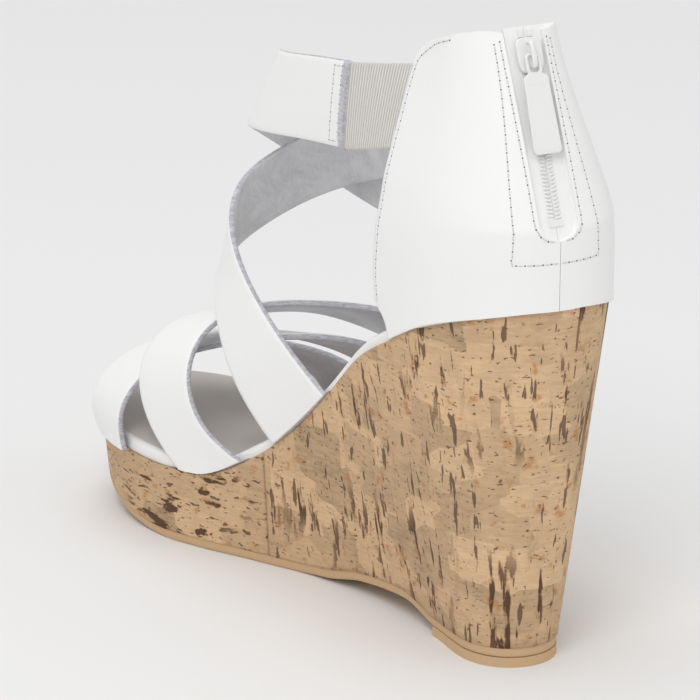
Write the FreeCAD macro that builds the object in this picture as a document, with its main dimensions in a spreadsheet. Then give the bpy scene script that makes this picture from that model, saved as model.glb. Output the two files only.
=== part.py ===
"""Wedge sandal, right shoe, in millimetres.

The frame has +Z up, the toe towards -Y and the inner side of the foot at +X.  The origin is the
centre of the heel lift's bottom face, on the ground.  Stations are distances forward of the back
of the heel seat, measured along -Y.
"""
import FreeCAD, Part
import math
import os
import Sketcher

from FreeCAD import Vector

os.makedirs("parts", exist_ok=True)
doc = FreeCAD.newDocument("wedge_sandal")

# ---------------------------------------------------------------------------------------------
# Driving dimensions
# ---------------------------------------------------------------------------------------------
DIMENSIONS = {
    # overall form
    "foot_length": 217.0, "swing": 36.0, "heel_seat_height": 111.5, "platform_height": 25.0,
    "toe_rise": 5.0, "toe_spring": 13.0, "arch_rise": 6.0,
    # half widths of the rim, inner side and outer side of the foot
    "heel_half": 29.4, "waist_inner": 23.6, "ball_inner": 38.0, "waist_outer": 29.4, "ball_outer": 41.0,
    "bottom_tuck": 2.5,
    # heel base and lift
    "lift_half": 15.0, "lift_length": 35.0, "lift_thick": 3.0, "back_lean": 9.0, "heel_offset": 4.0,
    # layers
    "outsole_thick": 3.0, "cork_thick": 1.4, "glue_line": 0.1, "cork_seam_station": 117.0, "rim_inset": 1.6,
    "binding_thick": 2.2, "board_thick": 1.6, "foam_thick": 2.4, "sock_thick": 0.8, "sock_inset": 1.4,
    # shank, rivets and nails
    "shank_width": 12.0, "shank_thick": 2.0, "shank_start": 30.0, "shank_end": 128.0,
    "rivet_radius": 1.5, "nail_radius": 1.0, "nail_length": 18.0, "nail_ring": 9.0, "nail_recess": 0.5,
    # heel counter
    "counter_rise": 78.5, "counter_front": 52.5, "top_half": 16.0, "quarter_thick": 1.1,
    "stiffener_thick": 0.7, "lining_thick": 0.7, "stiffener_rise": 42.0,
    # straps
    "strap_outer_thick": 1.3, "strap_lining_thick": 0.8, "elastic_thick": 1.2, "loop_fold_length": 2.4,
    # zip
    "zip_lean": 23.3, "zip_foot": 24.0, "zip_half": 6.2, "tape_thick": 0.6, "zip_depth": 1.6,
    "teeth_gap": 0.65, "teeth_width": 1.6, "teeth_thick": 1.7, "slider_width": 8.8, "slider_length": 10.5,
    "plate_thick": 1.2, "slide_clearance": 0.3, "web_thick": 0.8, "zip_margin": 3.0,
    "bail_length": 8.4, "bail_width": 1.6, "bail_height": 2.9, "bail_bar": 1.1,
    "pull_eye": 5.9, "pull_rim": 1.1, "pull_width": 9.0, "pull_length": 29.0, "pull_thick": 1.0,
    "pull_hole_width": 2.8,
}
sheet = doc.addObject("Spreadsheet::Sheet", "sizes")
for row, (alias, number) in enumerate(DIMENSIONS.items(), start=1):
    sheet.set(f"A{row}", alias)
    sheet.set(f"B{row}", str(number))
    sheet.setAlias(f"B{row}", alias)
doc.recompute()


def size(alias):
    """The value of one driving dimension, read from the sheet."""
    return float(sheet.get(alias))


LENGTH = size("foot_length")
RIM_Z = size("heel_seat_height")
OUTSOLE = size("outsole_thick")
LIFT_TOP = size("lift_thick")
LIFT_BACK = size("back_lean")
BREAST = LIFT_BACK + size("lift_length")
LIFT_CENTRE = (LIFT_BACK + BREAST) / 2.0
HEEL_X = -size("heel_offset")
FOOTBED = size("board_thick") + size("foam_thick")
STRAP_GAP = 0.1


# ---------------------------------------------------------------------------------------------
# Smooth curves
# ---------------------------------------------------------------------------------------------
def smooth_curve(knots):
    """A curve through (place, value) knots that never overshoots between them."""
    places = [place for place, _ in knots]
    values = [value for _, value in knots]
    steps = [b - a for a, b in zip(places, places[1:])]
    rises = [(b - a) / step for a, b, step in zip(values, values[1:], steps)]
    slopes = [rises[0]]
    for left, right in zip(rises, rises[1:]):
        slopes.append(0.0 if left * right <= 0.0 else 2.0 * left * right / (left + right))
    slopes.append(rises[-1])

    def curve(place):
        place = min(max(place, places[0]), places[-1])
        cell = 0
        while cell < len(steps) - 1 and place > places[cell + 1]:
            cell += 1
        step = steps[cell]
        u = (place - places[cell]) / step
        start = (1 + 2 * u) * (1 - u) ** 2 * values[cell] + u * (1 - u) ** 2 * step * slopes[cell]
        end = u * u * (3 - 2 * u) * values[cell + 1] + u * u * (u - 1) * step * slopes[cell + 1]
        return start + end

    return curve


def blend(low, high, share):
    """Straight mix of two values, with the share held between 0 and 1."""
    share = min(max(share, 0.0), 1.0)
    return low + (high - low) * share


def mix(low, high, share):
    """Straight mix of two values that runs on past either end."""
    return low + (high - low) * share


def ease(share):
    """A soft step from 0 to 1."""
    share = min(max(share, 0.0), 1.0)
    return share * share * (3.0 - 2.0 * share)


SEAT = RIM_Z - size("platform_height")
PLATFORM = size("platform_height")
TOE_Z = PLATFORM + size("toe_rise")
rim_height = smooth_curve([
    (0.0, RIM_Z), (0.10 * LENGTH, PLATFORM + 0.925 * SEAT), (0.22 * LENGTH, PLATFORM + 0.78 * SEAT),
    (0.325 * LENGTH, PLATFORM + 0.63 * SEAT), (0.415 * LENGTH, PLATFORM + 0.435 * SEAT),
    (0.495 * LENGTH, PLATFORM + 0.26 * SEAT), (0.57 * LENGTH, PLATFORM + 0.11 * SEAT),
    (0.655 * LENGTH, PLATFORM), (0.75 * LENGTH, PLATFORM - 1.0), (0.86 * LENGTH, PLATFORM),
    (LENGTH, TOE_Z),
])
sole_height = smooth_curve([
    (0.0, LIFT_TOP), (BREAST, LIFT_TOP), (BREAST + 18.0, size("arch_rise")), (0.39 * LENGTH, 4.4),
    (0.465 * LENGTH, 1.0), (0.53 * LENGTH, 0.0), (0.74 * LENGTH, 0.0), (0.81 * LENGTH, 2.0),
    (0.90 * LENGTH, 0.55 * size("toe_spring")), (LENGTH, size("toe_spring")),
])
inner_half = smooth_curve([
    (0.0, size("heel_half")), (0.17 * LENGTH, size("heel_half")), (0.26 * LENGTH, size("heel_half") - 0.8),
    (0.37 * LENGTH, size("waist_inner") + 1.3), (0.48 * LENGTH, size("waist_inner")),
    (0.585 * LENGTH, blend(size("waist_inner"), size("ball_inner"), 0.31)),
    (0.66 * LENGTH, blend(size("waist_inner"), size("ball_inner"), 0.74)),
    (0.735 * LENGTH, size("ball_inner")), (LENGTH, size("ball_inner")),
])
outer_half = smooth_curve([
    (0.0, size("heel_half")), (0.17 * LENGTH, size("heel_half") + 0.2),
    (0.26 * LENGTH, size("waist_outer") + 0.8),
    (0.37 * LENGTH, size("waist_outer")), (0.48 * LENGTH, size("waist_outer") + 1.1),
    (0.585 * LENGTH, blend(size("waist_outer"), size("ball_outer"), 0.45)),
    (0.66 * LENGTH, blend(size("waist_outer"), size("ball_outer"), 0.78)),
    (0.735 * LENGTH, size("ball_outer")), (LENGTH, size("ball_outer")),
])
HEEL_ROUND = 36.0
TOE_ROUND_INNER = 50.0
TOE_ROUND_OUTER = 66.0
LIFT_ROUND = 0.50
ABOVE_RIM = 1.04
BLOCK_HALF = 100.0
WHOLE_SHARE = 0.97


def middle(station):
    """The x of the foot's middle line, which swings towards the inner side going forward."""
    return HEEL_X + size("swing") * (max(station, 0.0) / LENGTH) ** 1.5


def place(x, station, z):
    """A point from x, the station and the height."""
    return Vector(x, LIFT_CENTRE - station, z)


def rounding(station, back, front, toe_round, heel_round=HEEL_ROUND):
    """Share of the full half width that the rounded heel and toe leave at a station."""
    heel = min(max(1.0 - (station - back) / heel_round, 0.0), 1.0)
    toe = min(max(1.0 - (front - station) / toe_round, 0.0), 1.0)
    return (1.0 - heel ** 2.1) ** (1.0 / 2.1) * (1.0 - toe ** 2.0) ** 0.5


def closed_outline(height, inset=0.0, points=18):
    """The wedge's two walls at a height, each as points from heel to toe, inner side first."""
    share_up = min(max((height - LIFT_TOP) / (RIM_Z - LIFT_TOP), 0.0), ABOVE_RIM)
    back = LIFT_BACK * (1.0 - share_up) + inset
    front = LENGTH - inset
    sides = []
    for half, toe_round, sign in ((inner_half, TOE_ROUND_INNER, 1.0), (outer_half, TOE_ROUND_OUTER, -1.0)):
        side = []
        for index in range(points + 1):
            station = back + (front - back) * (1.0 - math.cos(math.pi * index / points)) / 2.0
            low, high = sole_height(station), rim_height(station)
            up = min(max((height - low) / (high - low), 0.0), ABOVE_RIM)
            forward = ease((station - BREAST) / (0.40 * LENGTH))
            base_half = mix(size("lift_half"), half(station) - size("bottom_tuck"), forward)
            base_middle = mix(0.0, middle(station), forward)
            width = mix(base_half, half(station), up) - inset
            centre = mix(base_middle, middle(station), up)
            heel_round = mix(LIFT_ROUND * HEEL_ROUND, HEEL_ROUND, share_up)
            x = centre + sign * width * rounding(station, back, front, toe_round - inset, heel_round)
            side.append(place(x, station, height))
        sides.append(side)
    return sides


def even_parameters(points):
    """Curve parameters that are the same in every section of a loft."""
    return [index / (len(points) - 1) for index in range(len(points))]


def smooth_edge(points):
    curve = Part.BSplineCurve()
    curve.interpolate(Points=points, Parameters=even_parameters(points))
    return curve.toShape()


def band_section(near, far):
    """A closed wire round a thin band: along one face, across its end, back along the other, across again."""
    across = Part.makeLine(near[-1], far[-1])
    back = Part.makeLine(far[0], near[0])
    return Part.Wire([smooth_edge(near), across, smooth_edge(far[::-1]), back])


def spline_wire(sides):
    """A closed smooth wire from the inner and outer sides, square to the middle at heel and toe."""
    edges = []
    for side, sign in zip(sides, (1.0, -1.0)):
        curve = Part.BSplineCurve()
        steps = len(side) - 1
        leaving = Vector(sign * steps * abs(side[1].x - side[0].x), 0.0, 0.0)
        arriving = Vector(-sign * steps * abs(side[-1].x - side[-2].x), 0.0, 0.0)
        curve.interpolate(
            Points=side, Parameters=even_parameters(side),
            InitialTangent=leaving, FinalTangent=arriving, Scale=False)
        edges.append(curve.toShape())
    return Part.Wire(edges)


def side_band(lower, upper, start=-12.0, end=None, count=26):
    """A block across the whole shoe, between two side-view lines of (station) -> height."""
    end = LENGTH + 12.0 if end is None else end
    stations = [start + (end - start) * index / count for index in range(count + 1)]
    low = [place(-BLOCK_HALF, station, lower(station)) for station in stations]
    high = [place(-BLOCK_HALF, station, upper(station)) for station in reversed(stations)]
    face = Part.Face(Part.makePolygon(low + high + low[:1]))
    return face.extrude(Vector(2.0 * BLOCK_HALF, 0.0, 0.0))


def sole_top(station):
    return sole_height(station) + OUTSOLE


def lifted(curve, amount):
    """The same side-view curve, raised by an amount."""
    return lambda station: curve(station) + amount


def wall_block(inset=0.0):
    """The wedge's outer form from its flat section outlines, before top and bottom are cut."""
    shares = [0.32, 0.42, 0.52, 0.62, 0.72, 0.82, 0.91]
    heights = [-2.0, LIFT_TOP, 0.4 * PLATFORM, 0.7 * PLATFORM, PLATFORM] + [share * RIM_Z for share in shares]
    heights.append(mix(LIFT_TOP, RIM_Z, ABOVE_RIM))
    wires = [spline_wire(closed_outline(height, inset)) for height in heights]
    return Part.makeLoft(wires, True, False)


def rim_column(inset):
    """A column over the rim outline, moved in by an inset."""
    sides = [[Vector(point.x, point.y, -5.0) for point in side] for side in closed_outline(RIM_Z, inset)]
    return Part.Face(spline_wire(sides)).extrude(Vector(0.0, 0.0, RIM_Z + 30.0))


def feature(label, shape):
    """A computed sub-part, with its own label."""
    part = doc.addObject("Part::Feature", label)
    part.Label = label
    part.Shape = shape
    return part


def only_solid(shape):
    """The one solid of a boolean result, without its slivers; a result in several real pieces is an error."""
    largest = max(shape.Solids, key=lambda solid: solid.Volume)
    if largest.Volume < WHOLE_SHARE * sum(solid.Volume for solid in shape.Solids):
        raise RuntimeError("a piece fell apart: " + str([round(solid.Volume, 1) for solid in shape.Solids]))
    return largest


# ---------------------------------------------------------------------------------------------
# Wedge: core, cork wrap, outsole, shank and their fasteners
# ---------------------------------------------------------------------------------------------
outer_block = wall_block()
wedge_band = side_band(sole_top, rim_height)
cork_shell = outer_block.cut(wall_block(size("cork_thick"))).common(wedge_band)
core_shape = wall_block(size("cork_thick") + 2.0 * size("glue_line")).common(wedge_band)

shank_x = middle((size("shank_start") + size("shank_end")) / 2.0)
shank_strip = Part.makeBox(
    size("shank_width"), size("shank_end") - size("shank_start"), 200.0,
    place(shank_x - size("shank_width") / 2.0, size("shank_end"), -20.0))
shank_shape = side_band(lifted(rim_height, -size("shank_thick")), rim_height).common(shank_strip)

rivet_stations = [size("shank_start") + 8.0, size("shank_end") - 8.0]
nail_turns = [math.radians(angle) for angle in (18, 90, 162, 234, 306)]
nail_spots = [(math.cos(turn), math.sin(turn)) for turn in nail_turns]


def cylinder(label, radius_cell, length, base):
    """An upright pin whose radius follows a cell of the sheet."""
    pin = doc.addObject("Part::Cylinder", label)
    pin.setExpression("Radius", f"sizes.{radius_cell}")
    if isinstance(length, str):
        pin.setExpression("Height", f"sizes.{length}")
    else:
        pin.Height = length
    pin.Placement.Base = base
    return pin


def group(label, members):
    """Several separate solids kept together in one node."""
    bundle = doc.addObject("Part::Compound", label)
    bundle.Label = label
    bundle.Links = members
    return bundle


rivets = []
for number, station in enumerate(rivet_stations):
    foot = rim_height(station) - size("shank_thick") - 4.0
    head = rim_height(station + size("rivet_radius")) + size("board_thick") - 0.1
    rivets.append(cylinder(f"rivet_{number}", "rivet_radius", head - foot, place(shank_x, station, foot)))
nails = []
for number, (across, along) in enumerate(nail_spots):
    spot = Vector(size("nail_ring") * across, size("nail_ring") * along, size("nail_recess"))
    nails.append(cylinder(f"nail_{number}", "nail_radius", "nail_length", spot))
doc.recompute()
shank_rivets = group("shank_rivets", rivets)
heel_nails = group("heel_nails", nails)
doc.recompute()

pins = Part.makeCompound([shank_rivets.Shape, heel_nails.Shape])
feature("wedge_core", only_solid(core_shape.cut(shank_shape).cut(pins)))
feature("steel_shank", only_solid(shank_shape.cut(pins)))

seam_box = Part.makeBox(200.0, 300.0, 300.0, place(-100.0, size("cork_seam_station") + 300.0, -50.0))
feature("cork_wrap_front", only_solid(cork_shell.common(seam_box)))
feature("cork_wrap_heel", only_solid(cork_shell.cut(seam_box)))

outsole_shape = outer_block.common(side_band(sole_height, sole_top))
feature("outsole", only_solid(outsole_shape.cut(pins)))

# ---------------------------------------------------------------------------------------------
# Heel lift: a D-shaped pad with its straight side forward
# ---------------------------------------------------------------------------------------------
def origin_plane(body, role):
    return next(item for item in body.Origin.OriginFeatures if item.Role == role)


def sketch_on(body, name, role="XY_Plane"):
    sketch = body.newObject("Sketcher::SketchObject", name)
    sketch.AttachmentSupport = [(origin_plane(body, role), "")]
    sketch.MapMode = "FlatFace"
    return sketch


def closed_polyline(sketch, points):
    """Straight sides through points, joined into one loop."""
    count = len(points)
    for index, point in enumerate(points):
        sketch.addGeometry(Part.LineSegment(point, points[(index + 1) % count]), False)
    for index in range(count):
        sketch.addConstraint(Sketcher.Constraint("Coincident", index, 2, (index + 1) % count, 1))


def named_rectangle(sketch, left, right, low, high):
    """A rectangle whose four sides follow expressions of the sheet."""
    closed_polyline(sketch, [Vector(-1, -1, 0), Vector(1, -1, 0), Vector(1, 1, 0), Vector(-1, 1, 0)])
    for line in (0, 2):
        sketch.addConstraint(Sketcher.Constraint("Horizontal", line))
    for line in (1, 3):
        sketch.addConstraint(Sketcher.Constraint("Vertical", line))
    sides = [("DistanceY", 0, low), ("DistanceX", 1, right), ("DistanceY", 2, high), ("DistanceX", 3, left)]
    for kind, line, formula in sides:
        index = sketch.addConstraint(Sketcher.Constraint(kind, -1, 1, line, 1, 1.0))
        sketch.setExpression(f"Constraints[{index}]", formula)


def pad(body, name, sketch, formula, symmetric=False):
    feature_pad = body.newObject("PartDesign::Pad", name)
    feature_pad.Profile = sketch
    feature_pad.setExpression("Length", formula)
    feature_pad.Midplane = symmetric
    return feature_pad


lift_body = doc.addObject("PartDesign::Body", "lift_blank")
lift_sketch = sketch_on(lift_body, "lift_outline")
inner_edge, outer_edge = closed_outline(LIFT_TOP)
back_edge = [point for point in inner_edge[::-1] + outer_edge[1:] if LIFT_CENTRE - point.y < BREAST]
front_y = LIFT_CENTRE - BREAST
corners = [Vector(size("lift_half"), front_y, 0.0), Vector(-size("lift_half"), front_y, 0.0)]
lift_curve = Part.BSplineCurve()
lift_curve.interpolate([corners[0]] + [Vector(point.x, point.y, 0.0) for point in back_edge] + [corners[1]])
lift_sketch.addGeometry(lift_curve, False)
lift_sketch.addGeometry(Part.LineSegment(corners[1], corners[0]), False)
pad(lift_body, "lift_pad", lift_sketch, "sizes.lift_thick")
heel_lift = doc.addObject("Part::Cut", "heel_lift")
heel_lift.Label = "heel_lift"
heel_lift.Base = lift_body
heel_lift.Tool = heel_nails
doc.recompute()

# ---------------------------------------------------------------------------------------------
# Footbed: board, foam, wrapped rim and sock
# ---------------------------------------------------------------------------------------------
below_rim = side_band(lifted(rim_height, -60.0), rim_height)
inner_column = rim_column(size("rim_inset") + size("binding_thick"))
rim_ring = rim_column(size("rim_inset")).cut(inner_column)
board_top = lifted(rim_height, size("board_thick"))
foam_top = lifted(rim_height, FOOTBED)
sock_top = lifted(rim_height, FOOTBED + size("sock_thick"))
board_shape = inner_column.common(side_band(rim_height, board_top))
feature("insole_board", only_solid(board_shape.cut(pins)))
feature("footbed_foam", only_solid(inner_column.common(side_band(board_top, foam_top))))
binding_shape = only_solid(rim_ring.common(side_band(rim_height, foam_top)))
sock_column = rim_column(size("rim_inset") + size("sock_inset"))
sock_shape = only_solid(sock_column.common(side_band(foam_top, sock_top)))

# ---------------------------------------------------------------------------------------------
# Heel counter: lining, stiffener and two outer quarters, with the zip's slot at the back
# ---------------------------------------------------------------------------------------------
LEAN = math.radians(size("zip_lean"))
ZIP_FOOT_Z = RIM_Z + size("zip_foot")
COUNTER_TOP = RIM_Z + size("counter_rise")
top_share = size("top_half") / size("heel_half")
counter_share = smooth_curve([
    (RIM_Z - 30.0, 1.0), (RIM_Z + 12.0, 1.0), (RIM_Z + 0.35 * size("counter_rise"),
    blend(top_share, 1.0, 0.86)),
    (RIM_Z + 0.50 * size("counter_rise"), blend(top_share, 1.0, 0.62)),
    (RIM_Z + 0.62 * size("counter_rise"), blend(top_share, 1.0, 0.40)),
    (RIM_Z + 0.77 * size("counter_rise"), blend(top_share, 1.0, 0.16)),
    (RIM_Z + 0.90 * size("counter_rise"), blend(top_share, 1.0, 0.03)), (COUNTER_TOP + 6.0, top_share),
])
GLUE = size("glue_line")
COUNTER_POINTS = 15
COUNTER_SECTIONS = 15
LINING_IN = -size("rim_inset") + STRAP_GAP
LINING_OUT = LINING_IN + size("lining_thick")
STIFFENER_OUT = LINING_OUT + size("stiffener_thick")
QUARTER_OUT = STIFFENER_OUT + size("quarter_thick")


def counter_back(height):
    """Station of the counter's back: upright over the seat, then leaning forward in a straight line."""
    if height < ZIP_FOOT_Z:
        return -0.5 * ease((height - RIM_Z) / size("zip_foot"))
    return -0.5 + (height - ZIP_FOOT_Z) * math.tan(LEAN)


def counter_curve(height, offset, reach):
    """Points of the U-shaped plan curve of a counter layer's face at one height."""
    share = counter_share(height)
    back = counter_back(height) - offset
    sides = []
    for half, sign in ((inner_half, 1.0), (outer_half, -1.0)):
        side = []
        for index in range(COUNTER_POINTS):
            station = reach - (reach - back) * math.sin(0.5 * math.pi * index / (COUNTER_POINTS - 1.0))
            width = half(station) * share + offset
            round_share = rounding(station, back, 2.0 * LENGTH, 1.0, HEEL_ROUND * share)
            x = middle(station) + sign * width * round_share
            side.append(place(x, station, height))
        sides.append(side)
    return sides[0] + sides[1][-2::-1]


def counter_layer(inside, outside):
    """A U-shaped wall between two offsets, before its edges are trimmed."""
    reach = size("counter_front") + 12.0
    steps = COUNTER_SECTIONS - 1.0
    rises = [mix(-0.36, 1.06, step / steps) for step in range(COUNTER_SECTIONS)]
    wires = []
    for rise in rises:
        height = RIM_Z + rise * size("counter_rise")
        near, far = (counter_curve(height, offset, reach) for offset in (inside, outside))
        wires.append(band_section(near, far))
    return Part.makeLoft(wires, True, False)


def counter_side_view():
    """The counter's outline seen from the side, as a block across the whole shoe."""
    front = size("counter_front")
    rise = size("counter_rise")
    edge = [
        (front - 17.0, rim_height(front - 8.0) - 12.0), (front - 8.0, rim_height(front - 8.0)),
        (front, RIM_Z - 7.0), (front + 1.0, RIM_Z + 2.0), (front, RIM_Z + 0.16 * rise),
        (front - 1.0, RIM_Z + 0.32 * rise), (front - 0.5, RIM_Z + 0.5 * rise), (front, RIM_Z + 0.68 * rise),
        (front - 1.5, RIM_Z + 0.82 * rise), (front - 7.0, RIM_Z + 0.90 * rise),
        (front - 15.0, RIM_Z + 0.945 * rise), (front - 24.0, RIM_Z + 0.985 * rise),
        (front - 34.0, COUNTER_TOP),
    ]
    curve = smooth_edge([place(-BLOCK_HALF, station, height) for station, height in edge])
    points = curve.discretize(48)
    points += [place(-BLOCK_HALF, -20.0, COUNTER_TOP), place(-BLOCK_HALF, -20.0, 30.0),
               place(-BLOCK_HALF, front - 17.0, 30.0), points[0]]
    return Part.Face(Part.makePolygon(points)).extrude(Vector(2.0 * BLOCK_HALF, 0.0, 0.0))


ZIP_ORIGIN = place(HEEL_X, -0.5 - QUARTER_OUT, ZIP_FOOT_Z - size("zip_margin"))
ZIP_TURN = FreeCAD.Rotation(Vector(1.0, 0.0, 0.0), size("zip_lean"))
ZIP_FRAME = FreeCAD.Placement(ZIP_ORIGIN, ZIP_TURN)
ZIP_RUN = (COUNTER_TOP - ZIP_ORIGIN.z) / math.cos(LEAN)


def in_zip_frame(shape):
    """Moves a shape drawn along the zip (x across, y outward, z up the zip) into place."""
    moved = shape.copy()
    moved.Placement = ZIP_FRAME.multiply(moved.Placement)
    return moved


zip_half = size("zip_half")
slot_box = Part.makeBox(2.0 * zip_half, 16.0, ZIP_RUN + 30.0, Vector(-zip_half, -10.0, zip_half))
slot_foot = Part.makeCylinder(zip_half, 16.0, Vector(0.0, -10.0, zip_half), Vector(0.0, 1.0, 0.0))
zip_slot = slot_box.fuse(slot_foot)
slot_in_place = in_zip_frame(zip_slot)

low_band = side_band(lambda station: 40.0, lambda station: RIM_Z + size("stiffener_rise"))
footbed_space = rim_column(size("rim_inset")).common(side_band(rim_height, sock_top))
counter_outline = counter_side_view().cut(below_rim).cut(slot_in_place)
low_outline = counter_outline.common(low_band)

lining_shape = counter_layer(LINING_IN, LINING_OUT - GLUE).common(counter_outline).cut(footbed_space)
stiffener_shape = counter_layer(LINING_OUT, STIFFENER_OUT - GLUE).common(low_outline)
quarter_shape = counter_layer(STIFFENER_OUT, QUARTER_OUT).common(counter_outline)
inner_side = Part.makeBox(150.0, 300.0, 300.0, Vector(HEEL_X, -200.0, -20.0))
feature("quarter_lining", only_solid(lining_shape))
feature("heel_stiffener", only_solid(stiffener_shape))
feature("quarter_inner_side", only_solid(quarter_shape.common(inner_side)))
feature("quarter_outer_side", only_solid(quarter_shape.cut(inner_side)))

# ---------------------------------------------------------------------------------------------
# Straps: each is a band between a front edge and a rear edge, in an outer and a lining layer
# ---------------------------------------------------------------------------------------------
def rim_x(station, side):
    """x of the straps' seat on the rim; side is +1 for the inner side of the foot."""
    half = inner_half(station) if side > 0 else outer_half(station)
    toe_round = TOE_ROUND_INNER if side > 0 else TOE_ROUND_OUTER
    width = half * rounding(station, 0.0, LENGTH, toe_round)
    seat = -size("rim_inset") + STRAP_GAP + size("strap_lining_thick")
    return middle(station) + side * (width + seat)


def foot(station, side):
    """A strap's end, a little below the rim, where it is trimmed off."""
    return (rim_x(station, side), station, rim_height(station) - 3.0)


def over(across, station, height):
    """A point of a strap, from its distance off the heel's middle line, station and height."""
    return (HEEL_X + across, station, height)


STRAP_ROUTES = {
    "toe_strap": (
        [foot(206.0, 1), over(58.0, 207.0, 36.0), over(50.5, 206.5, 43.0), over(32.0, 206.0, 47.0),
         over(10.0, 198.0, 44.0), over(-5.0, 186.0, 36.0), foot(178.0, -1)],
        [foot(195.5, 1), over(61.2, 190.0, 37.0), over(53.0, 182.0, 48.0), over(32.0, 178.0, 54.0),
         over(8.0, 169.0, 52.0), over(-12.0, 160.0, 41.0), foot(152.0, -1)]),
    "diagonal_strap": (
        [foot(194.0, 1), over(66.0, 192.0, 38.0), over(60.0, 190.0, 47.0), over(44.0, 182.0, 55.5),
         over(22.0, 167.0, 59.0), over(0.0, 153.0, 54.0), over(-16.0, 143.0, 39.0), foot(138.0, -1)],
        [foot(174.0, 1), over(65.0, 172.0, 38.0), over(58.0, 168.0, 50.0), over(42.0, 157.0, 59.5),
         over(20.0, 143.0, 64.0), over(-1.0, 129.0, 62.0), over(-16.0, 119.0, 50.0), foot(115.0, -1)]),
    "vamp_strap": (
        [foot(146.0, 1), over(60.5, 162.0, 38.0), over(59.2, 169.5, 53.0), over(46.8, 172.0, 63.8),
         over(30.0, 166.0, 66.5), over(13.0, 155.0, 68.5), over(-5.0, 140.0, 64.0), over(-17.0, 120.0, 53.0),
         foot(111.0, -1)],
        [foot(125.0, 1), over(53.5, 139.0, 44.0), over(54.0, 145.0, 57.0), over(45.0, 150.0, 68.0),
         over(29.0, 150.0, 73.0), over(13.0, 139.0, 75.0), over(-4.0, 121.0, 75.0), over(-17.0, 101.0, 68.0),
         foot(90.0, -1)]),
    "instep_strap": (
        [foot(114.0, 1), over(45.0, 128.0, 56.0), over(46.5, 139.0, 72.0), over(41.0, 152.0, 84.0),
         over(28.0, 163.0, 91.0), over(14.0, 153.0, 103.0), over(-1.0, 125.0, 117.0),
         over(-16.0, 92.0, 127.0),
         over(-20.6, 62.0, 133.0), over(-20.9, 46.0, 135.0)],
        [foot(87.0, 1), over(38.0, 104.0, 73.5), over(41.5, 122.0, 86.0), over(41.5, 140.0, 101.0),
         over(32.0, 153.0, 114.0), over(18.0, 146.0, 126.0), over(1.0, 119.0, 140.0),
         over(-12.0, 88.0, 150.0),
         over(-15.6, 62.0, 155.0), over(-16.1, 46.0, 156.0)]),
    "ankle_strap": (
        [over(31.8, 80.5, 142.5), over(33.5, 110.0, 138.0), over(34.5, 136.0, 133.5),
         over(28.0, 155.0, 128.0),
         over(14.0, 158.0, 118.0), over(1.0, 142.0, 108.0), over(-13.0, 112.0, 99.0), over(-25.6, 78.0, 93.5),
         over(-29.8, 56.0, 98.0), over(-30.2, 46.0, 101.0)],
        [over(29.8, 80.5, 169.0), over(31.5, 104.0, 165.0), over(30.5, 123.0, 161.0),
         over(24.0, 139.0, 156.0),
         over(9.0, 141.0, 146.5), over(-6.0, 127.0, 136.0), over(-17.0, 102.0, 126.0),
         over(-26.0, 75.0, 120.0),
         over(-29.6, 56.0, 119.0), over(-30.0, 46.0, 118.0)]),
}


def spline_through(route):
    """An open smooth curve through the route's points."""
    curve = Part.BSplineCurve()
    curve.interpolate([place(*point) for point in route])
    return curve


def bow_at(front_point, rear_point):
    """How far the rim bows away from the straight line between a strap's two end corners."""
    side = 1 if front_point[0] > rim_x(front_point[1], -1) + 20.0 else -1
    seat = place(*foot(0.5 * (front_point[1] + rear_point[1]), side))
    return seat - (place(*front_point) + place(*rear_point)) * 0.5


def strap_sections(front_route, rear_route, inside, outside, sections, seated=(False, False)):
    """Curved sections along a strap, between two offsets from its middle face."""
    front = spline_through(front_route)
    rear = spline_through(rear_route)
    nothing = Vector(0.0, 0.0, 0.0)
    start_bow = bow_at(front_route[0], rear_route[0]) if seated[0] else nothing
    end_bow = bow_at(front_route[-1], rear_route[-1]) if seated[1] else nothing
    wires = []
    for index in range(sections):
        share = index / (sections - 1)
        at_front = front.FirstParameter + share * (front.LastParameter - front.FirstParameter)
        at_rear = rear.FirstParameter + share * (rear.LastParameter - rear.FirstParameter)
        low, high = front.value(at_front), rear.value(at_rear)
        along = front.tangent(at_front)[0] + rear.tangent(at_rear)[0]
        normal = (high - low).cross(along).normalize()
        bow = start_bow * max(1.0 - share / BOW_REACH, 0.0) ** 2
        bow = bow + end_bow * max(1.0 - (1.0 - share) / BOW_REACH, 0.0) ** 2
        centre = (low + high) * 0.5 + normal * (STRAP_CROWN + bow.dot(normal))
        faces = [[point + normal * offset for point in (low, centre, high)] for offset in (inside, outside)]
        wires.append(band_section(*faces))
    return wires


BOW_REACH = 0.3
STRAP_CROWN = 0.3
SECTIONS = {"toe_strap": 21, "diagonal_strap": 23, "vamp_strap": 23, "instep_strap": 33, "ankle_strap": 29}
strap_solids = []
for strap, (front_route, rear_route) in STRAP_ROUTES.items():
    layers = (("outer", 0.0, size("strap_outer_thick")), ("lining", -size("strap_lining_thick"), -GLUE))
    for layer, inside, outside in layers:
        seated = (strap != "ankle_strap", strap not in ("ankle_strap", "instep_strap"))
        wires = strap_sections(front_route, rear_route, inside, outside, SECTIONS[strap], seated)
        solid = Part.makeLoft(wires, True, False)
        if seated[0]:
            solid = solid.cut(below_rim)
        solid = only_solid(solid)
        if seated[0]:
            strap_solids.append(solid)
        feature(f"{strap}_{layer}", solid)

for solid in strap_solids:
    binding_shape = only_solid(binding_shape.cut(solid))
    sock_shape = only_solid(sock_shape.cut(solid))
feature("footbed_binding", binding_shape)
feature("sock_lining", sock_shape)

# ---------------------------------------------------------------------------------------------
# Elastic and the strap's folded end
# ---------------------------------------------------------------------------------------------
def beside(point, shift):
    """A route point moved back along the foot."""
    return (point[0], point[1] - shift, point[2])


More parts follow.
